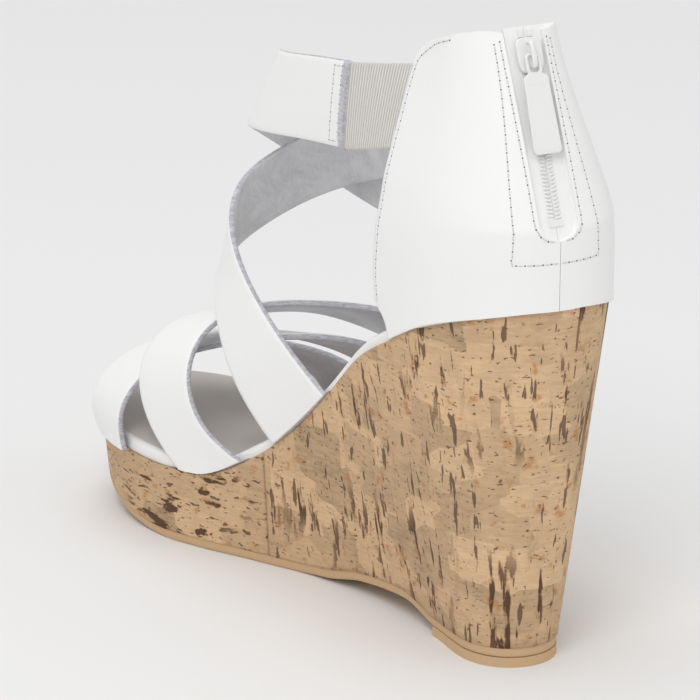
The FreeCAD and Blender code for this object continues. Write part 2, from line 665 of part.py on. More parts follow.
ankle_front, ankle_rear = STRAP_ROUTES["ankle_strap"][0][0], STRAP_ROUTES["ankle_strap"][1][0]
fold = size("loop_fold_length")
FOLD_GAP = 0.15
elastic_middle = 0.5 * (size("strap_outer_thick") - size("strap_lining_thick"))


def short_band(front_route, rear_route, inside, outside, sections):
    wires = strap_sections(front_route, rear_route, inside, outside, sections)
    return only_solid(Part.makeLoft(wires, True, False))


fold_front = [beside(ankle_front, fold), beside(ankle_front, 0.5 * fold), beside(ankle_front, FOLD_GAP)]
fold_rear = [beside(ankle_rear, fold), beside(ankle_rear, 0.5 * fold), beside(ankle_rear, FOLD_GAP)]
feature("loop_fold", short_band(fold_front, fold_rear, -size("strap_lining_thick") - 0.2,
                                size("strap_outer_thick") + 0.2, 3))
anchor = size("counter_front")
elastic_front = [over(23.2, anchor - 13.0, 151.5), over(24.7, anchor - 2.0, 149.5),
                 over(28.6, anchor + 12.0, 146.0),
                 beside(ankle_front, fold + FOLD_GAP)]
elastic_rear = [over(16.0, anchor - 13.0, 175.0), over(17.7, anchor - 2.0, 174.0),
                over(23.6, anchor + 12.0, 171.5),
                beside(ankle_rear, fold + FOLD_GAP)]
half_elastic = 0.5 * size("elastic_thick")
feature("elastic_gore", short_band(elastic_front, elastic_rear, elastic_middle - half_elastic,
                                   elastic_middle + half_elastic, 15))

# ---------------------------------------------------------------------------------------------
# Zip: tapes, teeth, stops, slider, bail and pull, drawn along the zip
# ---------------------------------------------------------------------------------------------
TAPE_MIDDLE = -size("zip_depth") - 0.5 * size("tape_thick")
TEETH_BACK = TAPE_MIDDLE - 0.5 * size("teeth_thick")
TEETH_FACE = TAPE_MIDDLE + 0.5 * size("teeth_thick")
TEETH_EDGE = size("teeth_gap") + size("teeth_width")
STOP_LENGTH = 2.0
TEETH_FOOT = zip_half + 0.4
TEETH_TOP = ZIP_RUN - 2.6
SLIDE_GAP = size("slide_clearance")
SLIDER_TOP = TEETH_TOP - SLIDE_GAP
SLIDER_MIDDLE = SLIDER_TOP - 0.5 * size("slider_length")
PLATE_UNDER = TEETH_FACE + SLIDE_GAP
PLATE_FACE = PLATE_UNDER + size("plate_thick")
PIVOT = PLATE_FACE + 0.5 * (size("bail_height") - size("bail_bar"))
SLIDE_TRAVEL = SLIDER_TOP - size("slider_length") - TEETH_FOOT - SLIDE_GAP


def in_zip_place(item, x=0.0, out=0.0, up=0.0):
    """Sets an object drawn in zip coordinates onto the leaning zip."""
    item.Placement = ZIP_FRAME.multiply(FreeCAD.Placement(Vector(x, out, up), FreeCAD.Rotation()))
    return item


tape_slab = Part.makeBox(2.0 * zip_half, size("tape_thick"), ZIP_RUN + 1.5,
                         Vector(-zip_half, TAPE_MIDDLE - 0.5 * size("tape_thick"), 0.0))
tape_hollow = Part.makeBox(
    2.0 * TEETH_EDGE, 8.0, ZIP_RUN + 30.0, Vector(-TEETH_EDGE, -6.0, TEETH_FOOT - STOP_LENGTH))
tape_shape = tape_slab.common(zip_slot).cut(tape_hollow)
tape_halves = {"inner_side": Part.makeBox(20.0, 20.0, 150.0, Vector(0.0, -10.0, -20.0)),
               "outer_side": Part.makeBox(20.0, 20.0, 150.0, Vector(-20.0, -10.0, -20.0))}
for side, half_box in tape_halves.items():
    feature(f"zip_tape_{side}", only_solid(in_zip_frame(tape_shape.common(half_box))))


def zip_block(label, widths, length, x, up, thick="sizes.teeth_thick", out=TEETH_BACK):
    """A plain block of the zip whose width and thickness follow the sheet."""
    block = doc.addObject("Part::Box", label)
    block.Label = label
    block.setExpression("Length", widths)
    block.setExpression("Width", thick)
    block.Height = length
    return in_zip_place(block, x, out, up)


teeth_run = TEETH_TOP - TEETH_FOOT
for side, x in (("inner_side", size("teeth_gap")), ("outer_side", -TEETH_EDGE)):
    zip_block(f"zip_teeth_{side}", "sizes.teeth_width", teeth_run, x, TEETH_FOOT)
zip_block("zip_bottom_stop", "2 * (sizes.teeth_gap + sizes.teeth_width)", STOP_LENGTH, -TEETH_EDGE,
          TEETH_FOOT - STOP_LENGTH)
stop_blocks = [zip_block(f"top_stop_{side}", "sizes.teeth_width", STOP_LENGTH, x, TEETH_TOP)
               for side, x in (("a", size("teeth_gap")), ("b", -TEETH_EDGE))]
doc.recompute()
group("zip_top_stops", stop_blocks)

# Slider body: an H-shaped section, two plates with flanges and a web between them
slider = doc.addObject("PartDesign::Body", "zip_slider_body")
slider.Label = "zip_slider_body"
slider_sketch = sketch_on(slider, "slider_outline")
under = TEETH_BACK - SLIDE_GAP
half_slider = 0.5 * size("slider_width")
half_web = 0.5 * size("web_thick")
flange = TEETH_EDGE + SLIDE_GAP
tape_front = TAPE_MIDDLE + 0.5 * size("tape_thick") + SLIDE_GAP
tape_rear = TAPE_MIDDLE - 0.5 * size("tape_thick") - SLIDE_GAP
right_half = [(half_web, under), (flange, under), (flange, tape_rear), (half_slider, tape_rear),
              (half_slider, under - size("plate_thick"))]
right_upper = [(half_slider, PLATE_FACE), (half_slider, tape_front), (flange, tape_front),
               (flange, PLATE_UNDER),
               (half_web, PLATE_UNDER)]
outline = right_upper + right_half
outline += [(-x, out) for x, out in reversed(outline)]
closed_polyline(slider_sketch, [Vector(x, out, 0.0) for x, out in outline])
pad(slider, "slider_pad", slider_sketch, "sizes.slider_length")
in_zip_place(slider, up=SLIDER_TOP - size("slider_length"))

# Bail: an arch along the slider that the pull hangs on
bail = doc.addObject("PartDesign::Body", "zip_bail")
bail.Label = "zip_bail"
arch_sketch = sketch_on(bail, "arch_side", "YZ_Plane")
named_rectangle(arch_sketch, "0", "sizes.bail_height", "-0.5 * sizes.bail_length", "0.5 * sizes.bail_length")
pad(bail, "arch_pad", arch_sketch, "sizes.bail_width", True)
eye_sketch = sketch_on(bail, "arch_eye", "YZ_Plane")
named_rectangle(eye_sketch, "-1", "sizes.bail_height - sizes.bail_bar",
                "-0.5 * sizes.bail_length + sizes.bail_bar", "0.5 * sizes.bail_length - sizes.bail_bar")
doc.recompute()
arch_volume = bail.Shape.Volume
eye_cut = bail.newObject("PartDesign::Pocket", "arch_cut")
eye_cut.Profile = eye_sketch
eye_cut.setExpression("Length", "2 * sizes.bail_width")
eye_cut.Midplane = True
doc.recompute()

if bail.Shape.Volume > 0.9 * arch_volume:
    raise RuntimeError("the bail's eye is not cut")
in_zip_place(bail, out=PLATE_FACE, up=SLIDER_MIDDLE)

# Pull: a tab with a long eye that hangs on the bail
pull = doc.addObject("PartDesign::Body", "zip_pull")
pull.Label = "zip_pull"
pull_sketch = sketch_on(pull, "pull_outline", "XZ_Plane")
eye_half = 0.5 * size("pull_hole_width") + size("pull_rim")
tab_half = 0.5 * size("pull_width")
eye_end = -size("pull_eye")
pull_end = -size("pull_length")
half_outline = [(eye_half, 0.5 * size("pull_rim")), (eye_half, eye_end), (tab_half, eye_end - 2.0),
                (tab_half - 0.2, pull_end)]
pull_points = half_outline + [(-x, up) for x, up in reversed(half_outline)]
closed_polyline(pull_sketch, [Vector(x, up, 0.0) for x, up in pull_points])
pad(pull, "pull_pad", pull_sketch, "sizes.pull_thick", True)
hole_sketch = sketch_on(pull, "pull_hole", "XZ_Plane")
named_rectangle(hole_sketch, "-0.5 * sizes.pull_hole_width", "0.5 * sizes.pull_hole_width",
                "-sizes.pull_eye", "-0.5 * sizes.pull_rim")
doc.recompute()
tab_volume = pull.Shape.Volume
hole_cut = pull.newObject("PartDesign::Pocket", "hole_cut")
hole_cut.Profile = hole_sketch
hole_cut.setExpression("Length", "4 * sizes.pull_thick")
hole_cut.Midplane = True
doc.recompute()
if pull.Shape.Volume > 0.97 * tab_volume:
    raise RuntimeError("the pull's eye is not cut")
in_zip_place(pull, out=PIVOT, up=SLIDER_MIDDLE)
doc.recompute()

# ---------------------------------------------------------------------------------------------
# Tests, then one file for each sub-part
# ---------------------------------------------------------------------------------------------
NODES = ["wedge_core", "steel_shank", "cork_wrap_front", "cork_wrap_heel", "outsole", "shank_rivets",
         "heel_nails",
         "heel_lift", "insole_board", "footbed_foam", "sock_lining", "footbed_binding", "quarter_lining",
         "heel_stiffener", "quarter_inner_side", "quarter_outer_side", "zip_tape_inner_side",
         "zip_tape_outer_side", "zip_teeth_inner_side", "zip_teeth_outer_side", "zip_bottom_stop",
         "zip_top_stops", "zip_slider_body", "zip_bail", "zip_pull", "loop_fold", "elastic_gore"]
NODES += [f"{strap}_{layer}" for strap in STRAP_ROUTES for layer in ("outer", "lining")]
for item in doc.Objects:
    if "Invalid" in item.State or "Error" in item.State:
        raise RuntimeError(f"{item.Label} has failed")
sub_parts = {node: doc.getObjectsByLabel(node)[0].Shape for node in NODES}
for node, shape in sub_parts.items():
    if shape.isNull() or not shape.isValid():
        raise RuntimeError(f"{node} has no sound shape")
for node, shape in sub_parts.items():
    shape.exportStep(f"parts/{node}.step")
    print(node, len(shape.Solids), len(shape.Faces), round(shape.Volume, 1))
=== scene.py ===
"""Strappy wedge sandal, right shoe: its visible surfaces, finishes, light and camera.

Shapes are worked out in millimetres from a side view (station forward of the heel seat's back, and height)
and a half width across, then set into the frame in metres: +Z up, toe towards -Y, inner side at +X.
"""
import math

import bmesh
import bpy
import numpy as np
from bpy.props import FloatProperty, FloatVectorProperty, PointerProperty
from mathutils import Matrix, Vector


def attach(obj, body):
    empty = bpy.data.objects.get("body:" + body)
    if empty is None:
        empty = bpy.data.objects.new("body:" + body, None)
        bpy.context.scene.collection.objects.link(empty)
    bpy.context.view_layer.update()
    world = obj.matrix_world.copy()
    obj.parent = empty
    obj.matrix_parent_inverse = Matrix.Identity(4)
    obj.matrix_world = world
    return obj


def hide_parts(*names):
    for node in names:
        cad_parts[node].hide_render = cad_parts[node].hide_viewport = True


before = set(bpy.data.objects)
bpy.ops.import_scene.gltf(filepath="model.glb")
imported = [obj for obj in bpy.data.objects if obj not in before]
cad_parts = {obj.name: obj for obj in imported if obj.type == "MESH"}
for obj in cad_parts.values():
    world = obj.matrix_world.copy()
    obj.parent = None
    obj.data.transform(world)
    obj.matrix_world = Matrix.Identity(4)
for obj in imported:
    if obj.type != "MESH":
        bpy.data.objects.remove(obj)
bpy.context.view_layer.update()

bl_info = {
    "name": "Wedge Sandal",
    "version": (1, 0, 0),
    "blender": (4, 5, 0),
    "location": "3D View > Sidebar > Sandal",
    "description": "Builds a cork wedge sandal with leather straps and a back zip",
    "category": "Add Mesh",
}


# ---------------------------------------------------------------------------------------------
# Sizes and colours that a user may change
# ---------------------------------------------------------------------------------------------
def length(label, note, millimetres):
    return FloatProperty(name=label, description=note, default=millimetres / 1000.0, unit="LENGTH",
                         subtype="DISTANCE", precision=5)


def colour(label, note, red, green, blue):
    return FloatVectorProperty(name=label, description=note, default=(red, green, blue), subtype="COLOR",
                               size=3,
                               min=0.0, max=1.0)


class SandalSizes(bpy.types.PropertyGroup):
    sole: length("Outsole thickness", "Thickness of the tan outsole", 3.0)
    footbed: length("Footbed thickness", "Board and foam together", 4.0)
    strap_outer: length("Strap leather", "Thickness of a strap's outer leather", 1.3)
    strap_lining: length("Strap lining", "Thickness of a strap's lining", 0.8)
    zip_half: length("Zip half width", "Half the width of the zip's slot", 6.2)
    stitch_pitch: length("Stitch pitch", "Distance from one stitch to the next", 2.6)
    thread: length("Thread thickness", "Thickness of the sewing thread", 0.42)


class SandalColours(bpy.types.PropertyGroup):
    cork: colour("Cork", "Main cork colour", 0.61, 0.415, 0.245)
    cork_dark: colour("Cork cracks", "Dark pits and cracks in the cork", 0.085, 0.04, 0.02)
    leather: colour("Leather", "White outer leather", 0.86, 0.86, 0.855)
    edge: colour("Leather edge", "Cut edges of the straps", 0.56, 0.56, 0.60)
    suede: colour("Lining", "Grey napped lining", 0.70, 0.70, 0.72)
    sock: colour("Footbed", "Grey beige footbed cover", 0.68, 0.635, 0.59)
    elastic: colour("Elastic", "Cream elastic", 0.86, 0.84, 0.78)
    sole: colour("Sole", "Tan rubber", 0.50, 0.33, 0.19)
    zip_white: colour("Zip", "White zip tape, coil and slider", 0.80, 0.80, 0.79)
    floor: colour("Floor", "Plain pale floor", 0.86, 0.86, 0.86)


def size(name):
    """One size of the panel, in millimetres."""
    return getattr(bpy.context.scene.sandal_sizes, name) * 1000.0


def tint(name):
    return tuple(getattr(bpy.context.scene.sandal_colours, name))


# ---------------------------------------------------------------------------------------------
# Side view and plan curves
# ---------------------------------------------------------------------------------------------
def smooth_curve(knots):
    """A curve through (place, value) knots: cubic pieces whose end slopes are the harmonic mean of the two
    neighbouring rises, or level at a turn, so it never overshoots."""
    places = np.array([place for place, _ in knots])
    values = np.array([value for _, value in knots])
    steps = np.diff(places)
    rises = np.diff(values) / steps
    left, right = rises[:-1], rises[1:]
    same = left * right > 0.0
    inner = np.where(same, 2.0 * left * right / np.where(same, left + right, 1.0), 0.0)
    slopes = np.concatenate([rises[:1], inner, rises[-1:]])

    def curve(place):
        place = np.clip(place, places[0], places[-1])
        cell = np.clip(np.searchsorted(places, place, side="left") - 1, 0, len(steps) - 1)
        step = steps[cell]
        u = (place - places[cell]) / step
        start = (1 + 2 * u) * (1 - u) ** 2 * values[cell] + u * (1 - u) ** 2 * step * slopes[cell]
        return start + u * u * (3 - 2 * u) * values[cell + 1] + u * u * (u - 1) * step * slopes[cell + 1]

    return curve


def ease(share):
    share = np.clip(share, 0.0, 1.0)
    return share * share * (3.0 - 2.0 * share)


LENGTH, SEAT_Z, PLATFORM = 217.0, 111.5, 25.0
CORK_SEAM = 117.0
LIFT_CENTRE, HEEL_X, BREAST, LIFT_TOP, LIFT_BACK = 26.5, -4.0, 44.0, 3.0, 9.0
RISE = SEAT_Z - PLATFORM
rim_height = smooth_curve([
    (0.0, SEAT_Z), (0.10 * LENGTH, PLATFORM + 0.925 * RISE), (0.22 * LENGTH, PLATFORM + 0.78 * RISE),
    (0.325 * LENGTH, PLATFORM + 0.63 * RISE), (0.415 * LENGTH, PLATFORM + 0.435 * RISE),
    (0.495 * LENGTH, PLATFORM + 0.26 * RISE), (0.57 * LENGTH, PLATFORM + 0.11 * RISE), (0.655 * LENGTH,
                                                                                        PLATFORM),
    (0.75 * LENGTH, PLATFORM - 1.0), (0.86 * LENGTH, PLATFORM), (LENGTH, PLATFORM + 5.0)])
sole_height = smooth_curve([
    (0.0, LIFT_TOP), (BREAST, LIFT_TOP), (BREAST + 18.0, 6.0), (0.39 * LENGTH, 4.4), (0.465 * LENGTH, 1.0),
    (0.53 * LENGTH, 0.0), (0.74 * LENGTH, 0.0), (0.81 * LENGTH, 2.0), (0.90 * LENGTH, 7.15), (LENGTH, 13.0)])
inner_half = smooth_curve([
    (0.0, 29.4), (0.17 * LENGTH, 29.4), (0.26 * LENGTH, 28.6), (0.37 * LENGTH, 24.9), (0.48 * LENGTH, 23.6),
    (0.585 * LENGTH, 28.064), (0.66 * LENGTH, 34.256), (0.735 * LENGTH, 38.0), (LENGTH, 38.0)])
outer_half = smooth_curve([
    (0.0, 29.4), (0.17 * LENGTH, 29.6), (0.26 * LENGTH, 30.2), (0.37 * LENGTH, 29.4), (0.48 * LENGTH, 30.5),
    (0.585 * LENGTH, 34.62), (0.66 * LENGTH, 38.448), (0.735 * LENGTH, 41.0), (LENGTH, 41.0)])
COUNTER_RISE = 78.5
COUNTER_TOP = SEAT_Z + COUNTER_RISE
counter_share = smooth_curve([
    (SEAT_Z - 30.0, 1.0), (SEAT_Z + 12.0, 1.0), (SEAT_Z + 0.35 * COUNTER_RISE, 0.9362),
    (SEAT_Z + 0.50 * COUNTER_RISE, 0.8268), (SEAT_Z + 0.62 * COUNTER_RISE, 0.7265),
    (SEAT_Z + 0.77 * COUNTER_RISE, 0.6171), (SEAT_Z + 0.90 * COUNTER_RISE, 0.5579), (COUNTER_TOP + 6.0,
                                                                                     0.5442)])
front_edge = smooth_curve([
    (80.0, 42.0), (SEAT_Z - 14.0, 45.5), (SEAT_Z - 7.0, 52.5), (SEAT_Z + 2.0, 53.5),
    (SEAT_Z + 0.16 * COUNTER_RISE, 52.5), (SEAT_Z + 0.32 * COUNTER_RISE, 51.5),
    (SEAT_Z + 0.5 * COUNTER_RISE, 52.0),
    (SEAT_Z + 0.68 * COUNTER_RISE, 52.5), (SEAT_Z + 0.82 * COUNTER_RISE, 51.0),
    (SEAT_Z + 0.90 * COUNTER_RISE, 45.5),
    (SEAT_Z + 0.945 * COUNTER_RISE, 37.5), (SEAT_Z + 0.985 * COUNTER_RISE, 28.5), (COUNTER_TOP, 18.5)])
LEAN = math.radians(23.3)
ZIP_FOOT_Z = SEAT_Z + 24.0
ZIP_BASE = np.array([HEEL_X, LIFT_CENTRE + 1.5, ZIP_FOOT_Z - 3.0])
ZIP_RUN = (COUNTER_TOP - ZIP_BASE[2]) / math.cos(LEAN)
OUTER_FACE, LINING_FACE = 1.0, -1.5
THREAD_LIFT = 0.05


def middle(station):
    """x of the foot's middle line: a power of 1.5 of the station, swinging to the inner side."""
    return HEEL_X + 36.0 * (np.maximum(station, 0.0) / LENGTH) ** 1.5


def rounding(station, back, front, toe_round, heel_round=36.0):
    """Share of the half width left by the rounded heel (exponent 2.1) and the elliptic toe."""
    heel = np.clip(1.0 - (station - back) / heel_round, 0.0, 1.0)
    toe = np.clip(1.0 - (front - station) / toe_round, 0.0, 1.0)
    return (1.0 - heel ** 2.1) ** (1.0 / 2.1) * np.sqrt(1.0 - toe ** 2.0)


def set_down(x, station, z):
    """Points of x, station and height in millimetres, as rows of metres in the frame."""
    x, station, z = np.broadcast_arrays(x, station, z)
    return np.stack([x, LIFT_CENTRE - station, z], axis=-1) / 1000.0


def wedge_wall(turn, up, inset=0.0, low_gap=0.0):
    """The wedge's wall. turn goes round the outline, 0 and 1 at the heel's back and 0.5 at the toe; up goes
    from the sole's top edge at 0 to the rim at 1. The station follows the cosine of the turn; the half
    width mixes the narrow base with the rim's width by the height."""
    turn, up, inset = np.broadcast_arrays(turn, up, inset)
    side = np.where(turn % 1.0 < 0.5, 1.0, -1.0)
    z = np.full(turn.shape, 30.0)
    front = LENGTH - inset
    for _ in range(5):
        climb = np.clip((z - LIFT_TOP) / (SEAT_Z - LIFT_TOP), 0.0, 1.04)
        back = LIFT_BACK * (1.0 - climb) + inset
        station = back + (front - back) * (1.0 - np.cos(2.0 * np.pi * turn)) / 2.0
        low = sole_height(station) + low_gap
        z = low + (rim_height(station) - low) * up
    share = np.clip((z - sole_height(station)) / (rim_height(station) - sole_height(station)), 0.0, 1.04)
    half = np.where(side > 0, inner_half(station), outer_half(station))
    forward = ease((station - BREAST) / (0.40 * LENGTH))
    base_half = 15.0 + (half - 2.5 - 15.0) * forward
    base_middle = middle(station) * forward
    width = base_half + (half - base_half) * share - inset
    centre = base_middle + (middle(station) - base_middle) * share
    toe_round = np.where(side > 0, 50.0, 66.0) - inset
    heel_round = 36.0 * (0.5 + 0.5 * climb)
    x = centre + side * width * rounding(station, back, front, toe_round, heel_round)
    return x, station, z


def rim_edge(turn, inset):
    """x and station of the rim's outline at an inset."""
    side = np.where(turn % 1.0 < 0.5, 1.0, -1.0)
    front = LENGTH - inset
    station = inset + (front - inset) * (1.0 - np.cos(2.0 * np.pi * turn)) / 2.0
    half = np.where(side > 0, inner_half(station), outer_half(station)) - inset
    toe_round = np.where(side > 0, 50.0, 66.0) - inset
    return middle(station) + side * half * rounding(station, inset, front, toe_round), station


# ---------------------------------------------------------------------------------------------
# Meshes from grids
# ---------------------------------------------------------------------------------------------
def grid_faces(rows, columns, wrap_rows=False, wrap_columns=False):
    """Quads of a rows by columns grid of points."""
    r = np.arange(rows if wrap_rows else rows - 1)
    c = np.arange(columns if wrap_columns else columns - 1)
    r, c = np.meshgrid(r, c, indexing="ij")
    r2, c2 = (r + 1) % rows, (c + 1) % columns
    return np.stack([r * columns + c, r * columns + c2, r2 * columns + c2, r2 * columns + c],
                    -1).reshape(-1, 4)


def make_piece(name, points, faces, uv=None, body="shoe", slot="white_leather", stands_for=(), looks=(),
               face_looks=None, caps=(), sharp=None):
    """One mesh object from points and quads, riding on its body. Doubled points are merged, so seams and
    poles close, and the faces are turned outwards."""
    points = np.asarray(points).reshape(-1, 3)
    mesh = bpy.data.meshes.new(name)
    mesh.from_pydata(points.tolist(), [], faces.tolist() + [list(cap) for cap in caps])
    if uv is not None:
        uv = np.asarray(uv).reshape(-1, 2)
        layer = mesh.uv_layers.new(name="UVMap")
        corner = np.zeros(len(mesh.loops), dtype=np.int32)
        mesh.loops.foreach_get("vertex_index", corner)
        layer.data.foreach_set("uv", uv[corner].astype(np.float32).ravel())
    for look in looks:
        mesh.materials.append(look)
    if face_looks is not None:
        index = np.zeros(len(mesh.polygons), dtype=np.int32)
        index[:len(face_looks)] = face_looks
        mesh.polygons.foreach_set("material_index", index)
    mesh.polygons.foreach_set("use_smooth", np.ones(len(mesh.polygons), dtype=bool))
    work = bmesh.new()
    work.from_mesh(mesh)
    bmesh.ops.remove_doubles(work, verts=work.verts, dist=2e-6)
    bmesh.ops.dissolve_degenerate(work, edges=work.edges, dist=1e-6)
    bmesh.ops.recalc_face_normals(work, faces=work.faces)
    work.to_mesh(mesh)
    work.free()
    if sharp:
        mesh.set_sharp_from_angle(angle=math.radians(sharp))
    piece = bpy.data.objects.new(name, mesh)
    bpy.context.scene.collection.objects.link(piece)
    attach(piece, body)
    if stands_for:
        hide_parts(*stands_for)
    return piece


def spline(points, count):
    """A natural cubic spline through points, at even steps of its chord length parameter."""
    points = np.asarray(points, dtype=float)
    knots = np.concatenate([[0.0], np.cumsum(np.linalg.norm(np.diff(points, axis=0), axis=1))])
    gap = np.diff(knots)
    n = len(points)
    system = np.eye(n)
    right = np.zeros((n, points.shape[1]))
    for i in range(1, n - 1):
        system[i, i - 1:i + 2] = gap[i - 1], 2.0 * (gap[i - 1] + gap[i]), gap[i]
        right[i] = 6.0 * ((points[i + 1] - points[i]) / gap[i] - (points[i] - points[i - 1]) / gap[i - 1])
    bend = np.linalg.solve(system, right)
    at = np.linspace(0.0, knots[-1], count) if np.isscalar(count) else np.asarray(count) * knots[-1]
    cell = np.clip(np.searchsorted(knots, at, side="right") - 1, 0, n - 2)
    h, a, b = gap[cell][:, None], (knots[cell + 1] - at)[:, None], (at - knots[cell])[:, None]
    cubes = (bend[cell] * a ** 3 + bend[cell + 1] * b ** 3) / (6.0 * h)
    from_start = (points[cell] / h - bend[cell] * h / 6.0) * a
    from_end = (points[cell + 1] / h - bend[cell + 1] * h / 6.0) * b
    return cubes + from_start + from_end


def unit(vectors):
    return vectors / np.maximum(np.linalg.norm(vectors, axis=-1, keepdims=True), 1e-12)


# ---------------------------------------------------------------------------------------------
# Shader maths
# ---------------------------------------------------------------------------------------------
class Signal:
    """An output socket of a shader; sums and products of signals add Math nodes."""

    def __init__(self, shader, socket):
        self.shader = shader
        self.socket = socket

    def maths(self, operation, first, second):
        return self.shader.node("ShaderNodeMath", {"operation": operation}, {0: first, 1: second})

    def __add__(self, other):
        return self.maths("ADD", self, other)

    def __radd__(self, other):
        return self.maths("ADD", other, self)

    def __sub__(self, other):
        return self.maths("SUBTRACT", self, other)

    def __rsub__(self, other):
        return self.maths("SUBTRACT", other, self)

    def __mul__(self, other):
        return self.maths("MULTIPLY", self, other)

    def __rmul__(self, other):
        return self.maths("MULTIPLY", other, self)


class Shader:
    """A material with one Principled shader, built node by node."""

    def __init__(self, name, **constants):
        self.material = bpy.data.materials.new(name)
        self.material.use_nodes = True
        self.tree = self.material.node_tree
        self.surface = self.tree.nodes["Principled BSDF"]
        for socket, value in constants.items():
            self.surface.inputs[socket.replace("_", " ")].default_value = value

    def node(self, kind, settings=None, inputs=None, output=0):
        """A node of a kind, with its settings made first and then its sockets filled."""
        made = self.tree.nodes.new(kind)
        for key, value in (settings or {}).items():
            if key == "stops":
                ramp = made.color_ramp
                while len(ramp.elements) < len(value):
                    ramp.elements.new(0.5)
                for element, (place, shade) in zip(ramp.elements, value):
                    element.position = place
                    element.color = (*shade, 1.0)
            else:
                setattr(made, key, value)
        for key, value in (inputs or {}).items():
            self.fill(made.inputs[key], value)
        return Signal(self, made.outputs[output])

    def fill(self, socket, value):
        if isinstance(value, Signal):
            self.tree.links.new(value.socket, socket)
        elif isinstance(value, tuple) and socket.type == "RGBA":
            socket.default_value = (*value[:3], 1.0)
        else:
            socket.default_value = value

    def object_point(self, scale=(1.0, 1.0, 1.0), turn=(0.0, 0.0, 0.0)):
        point = self.node("ShaderNodeTexCoord", output="Object")
        return self.node("ShaderNodeMapping", None, {"Vector": point, "Scale": scale, "Rotation": turn})

    def own_uv(self, scale=(1.0, 1.0, 1.0)):
        point = self.node("ShaderNodeUVMap", {"uv_map": "UVMap"})
        return self.node("ShaderNodeMapping", None, {"Vector": point, "Scale": scale})

    def noise(self, point, scale, detail=4.0, rough=0.5, distortion=0.0):
        return self.node("ShaderNodeTexNoise", None, {"Vector": point, "Scale": scale, "Detail": detail,
                                                      "Roughness": rough, "Distortion": distortion})

    def cells(self, point, scale, feature="F1", output="Distance", distance="EUCLIDEAN"):
        settings = {"feature": feature}
        if feature != "DISTANCE_TO_EDGE":
            settings["distance"] = distance
        return self.node("ShaderNodeTexVoronoi", settings, {"Vector": point, "Scale": scale}, output)

    def stretch(self, value, low, high, new_low=0.0, new_high=1.0):
        """A soft step of a value between two limits."""
        return self.node("ShaderNodeMapRange", {"interpolation_type": "SMOOTHSTEP"},
                         {"Value": value, "From Min": low, "From Max": high, "To Min": new_low,
                          "To Max": new_high})

    def blend(self, share, first, second):
        """A colour mix; a colour Mix node's sockets are share 0, colours 6 and 7, and result 2."""
        return self.node("ShaderNodeMix", {"data_type": "RGBA"}, {0: share, 6: first, 7: second}, 2)

    def relief(self, height, strength, depth, under=None):
        """A Bump node; depth is in metres."""
        inputs = {"Height": height, "Strength": strength, "Distance": depth}
        if under is not None:
            inputs["Normal"] = under
        return self.node("ShaderNodeBump", None, inputs)

    def finish(self, **links):
        for socket, value in links.items():
            self.fill(self.surface.inputs[socket.replace("_", " ")], value)
        return self.material


def scaled(shade, factor):
    return tuple(min(part * factor, 1.0) for part in shade)


def cork_look(name, upright):
    """Cork veneer in strips: a fine lying grain, oblong patches of slightly different tone, dark cracks
    with ragged edges, pits and warm spots. Cracks stand upright on the heel panel and lie along the sole on
    the front panel."""
    s = Shader(name, Specular_IOR_Level=0.3)
    base, dark = tint("cork"), tint("cork_dark")
    point = s.object_point()
    mottle = s.noise(point, 110.0, 5.0, 0.6)
    grain = s.noise(s.object_point((1.0, 1.0, 7.0)), 140.0, 6.0, 0.7)
    fibres = s.noise(s.object_point((1.0, 1.0, 12.0)), 330.0, 3.0, 0.6)
    blocks = s.cells(s.object_point((0.75, 0.75, 1.15)), 70.0, output="Color", distance="CHEBYCHEV")
    block_tone = s.node("ShaderNodeSeparateColor", None, {"Color": blocks}, 0)
    tone = mottle * 0.24 + grain * 0.38 + fibres * 0.16 + block_tone * 0.22
    veneer = s.node("ShaderNodeValToRGB", {"stops": [
        (0.28, scaled(base, 0.50)), (0.42, scaled(base, 0.84)), (0.52, base), (0.70, scaled(base, 1.32))]},
        {"Fac": tone})
    warm = s.stretch(s.noise(point, 170.0, 3.0, 0.6), 0.60, 0.70, 0.0, 0.62)
    warmed = s.blend(warm, veneer, (0.46, 0.19, 0.055))
    if upright:
        crack_scale, crack_size = (1.0, 1.0, 0.17), 210.0
    else:
        crack_scale, crack_size = (1.0, 0.22, 1.3), 190.0
    ragged = s.noise(point, 900.0, 2.0, 0.5)
    crack_field = s.noise(s.object_point(crack_scale), crack_size, 3.0, 0.6, 0.25)
    gather = s.stretch(s.noise(s.object_point((1.0, 1.0, 0.6)), 46.0, 2.0, 0.5), 0.40, 0.62)
    cracks = s.stretch(crack_field + ragged * 0.07, 0.625, 0.66) * gather
    fine_field = s.noise(s.object_point(crack_scale), crack_size * 2.1, 2.0, 0.5, 0.2)
    fine = s.stretch(fine_field + ragged * 0.06, 0.665, 0.70) * 0.85
    pits = s.stretch(s.noise(s.object_point((1.0, 1.0, 2.2)), 520.0, 2.0, 0.5), 0.655, 0.70) * 0.75
    deep = s.node("ShaderNodeMath", {"operation": "MAXIMUM"}, {0: cracks, 1: fine})
    marks = s.node("ShaderNodeMath", {"operation": "MAXIMUM"}, {0: deep, 1: pits})
    rim = s.stretch(crack_field + ragged * 0.07, 0.59, 0.63) * gather
    rimmed = s.blend(rim * 0.45, warmed, (0.30, 0.13, 0.045))
    marked = s.blend(marks * 0.93, rimmed, dark)
    bump_one = s.relief(1.0 - marks, 0.8, 0.0006)
    bump_two = s.relief(grain * 0.6 + fibres * 0.4, 0.30, 0.0003, bump_one)
    return s.finish(Base_Color=marked, Roughness=0.58 + mottle * 0.22, Normal=bump_two)


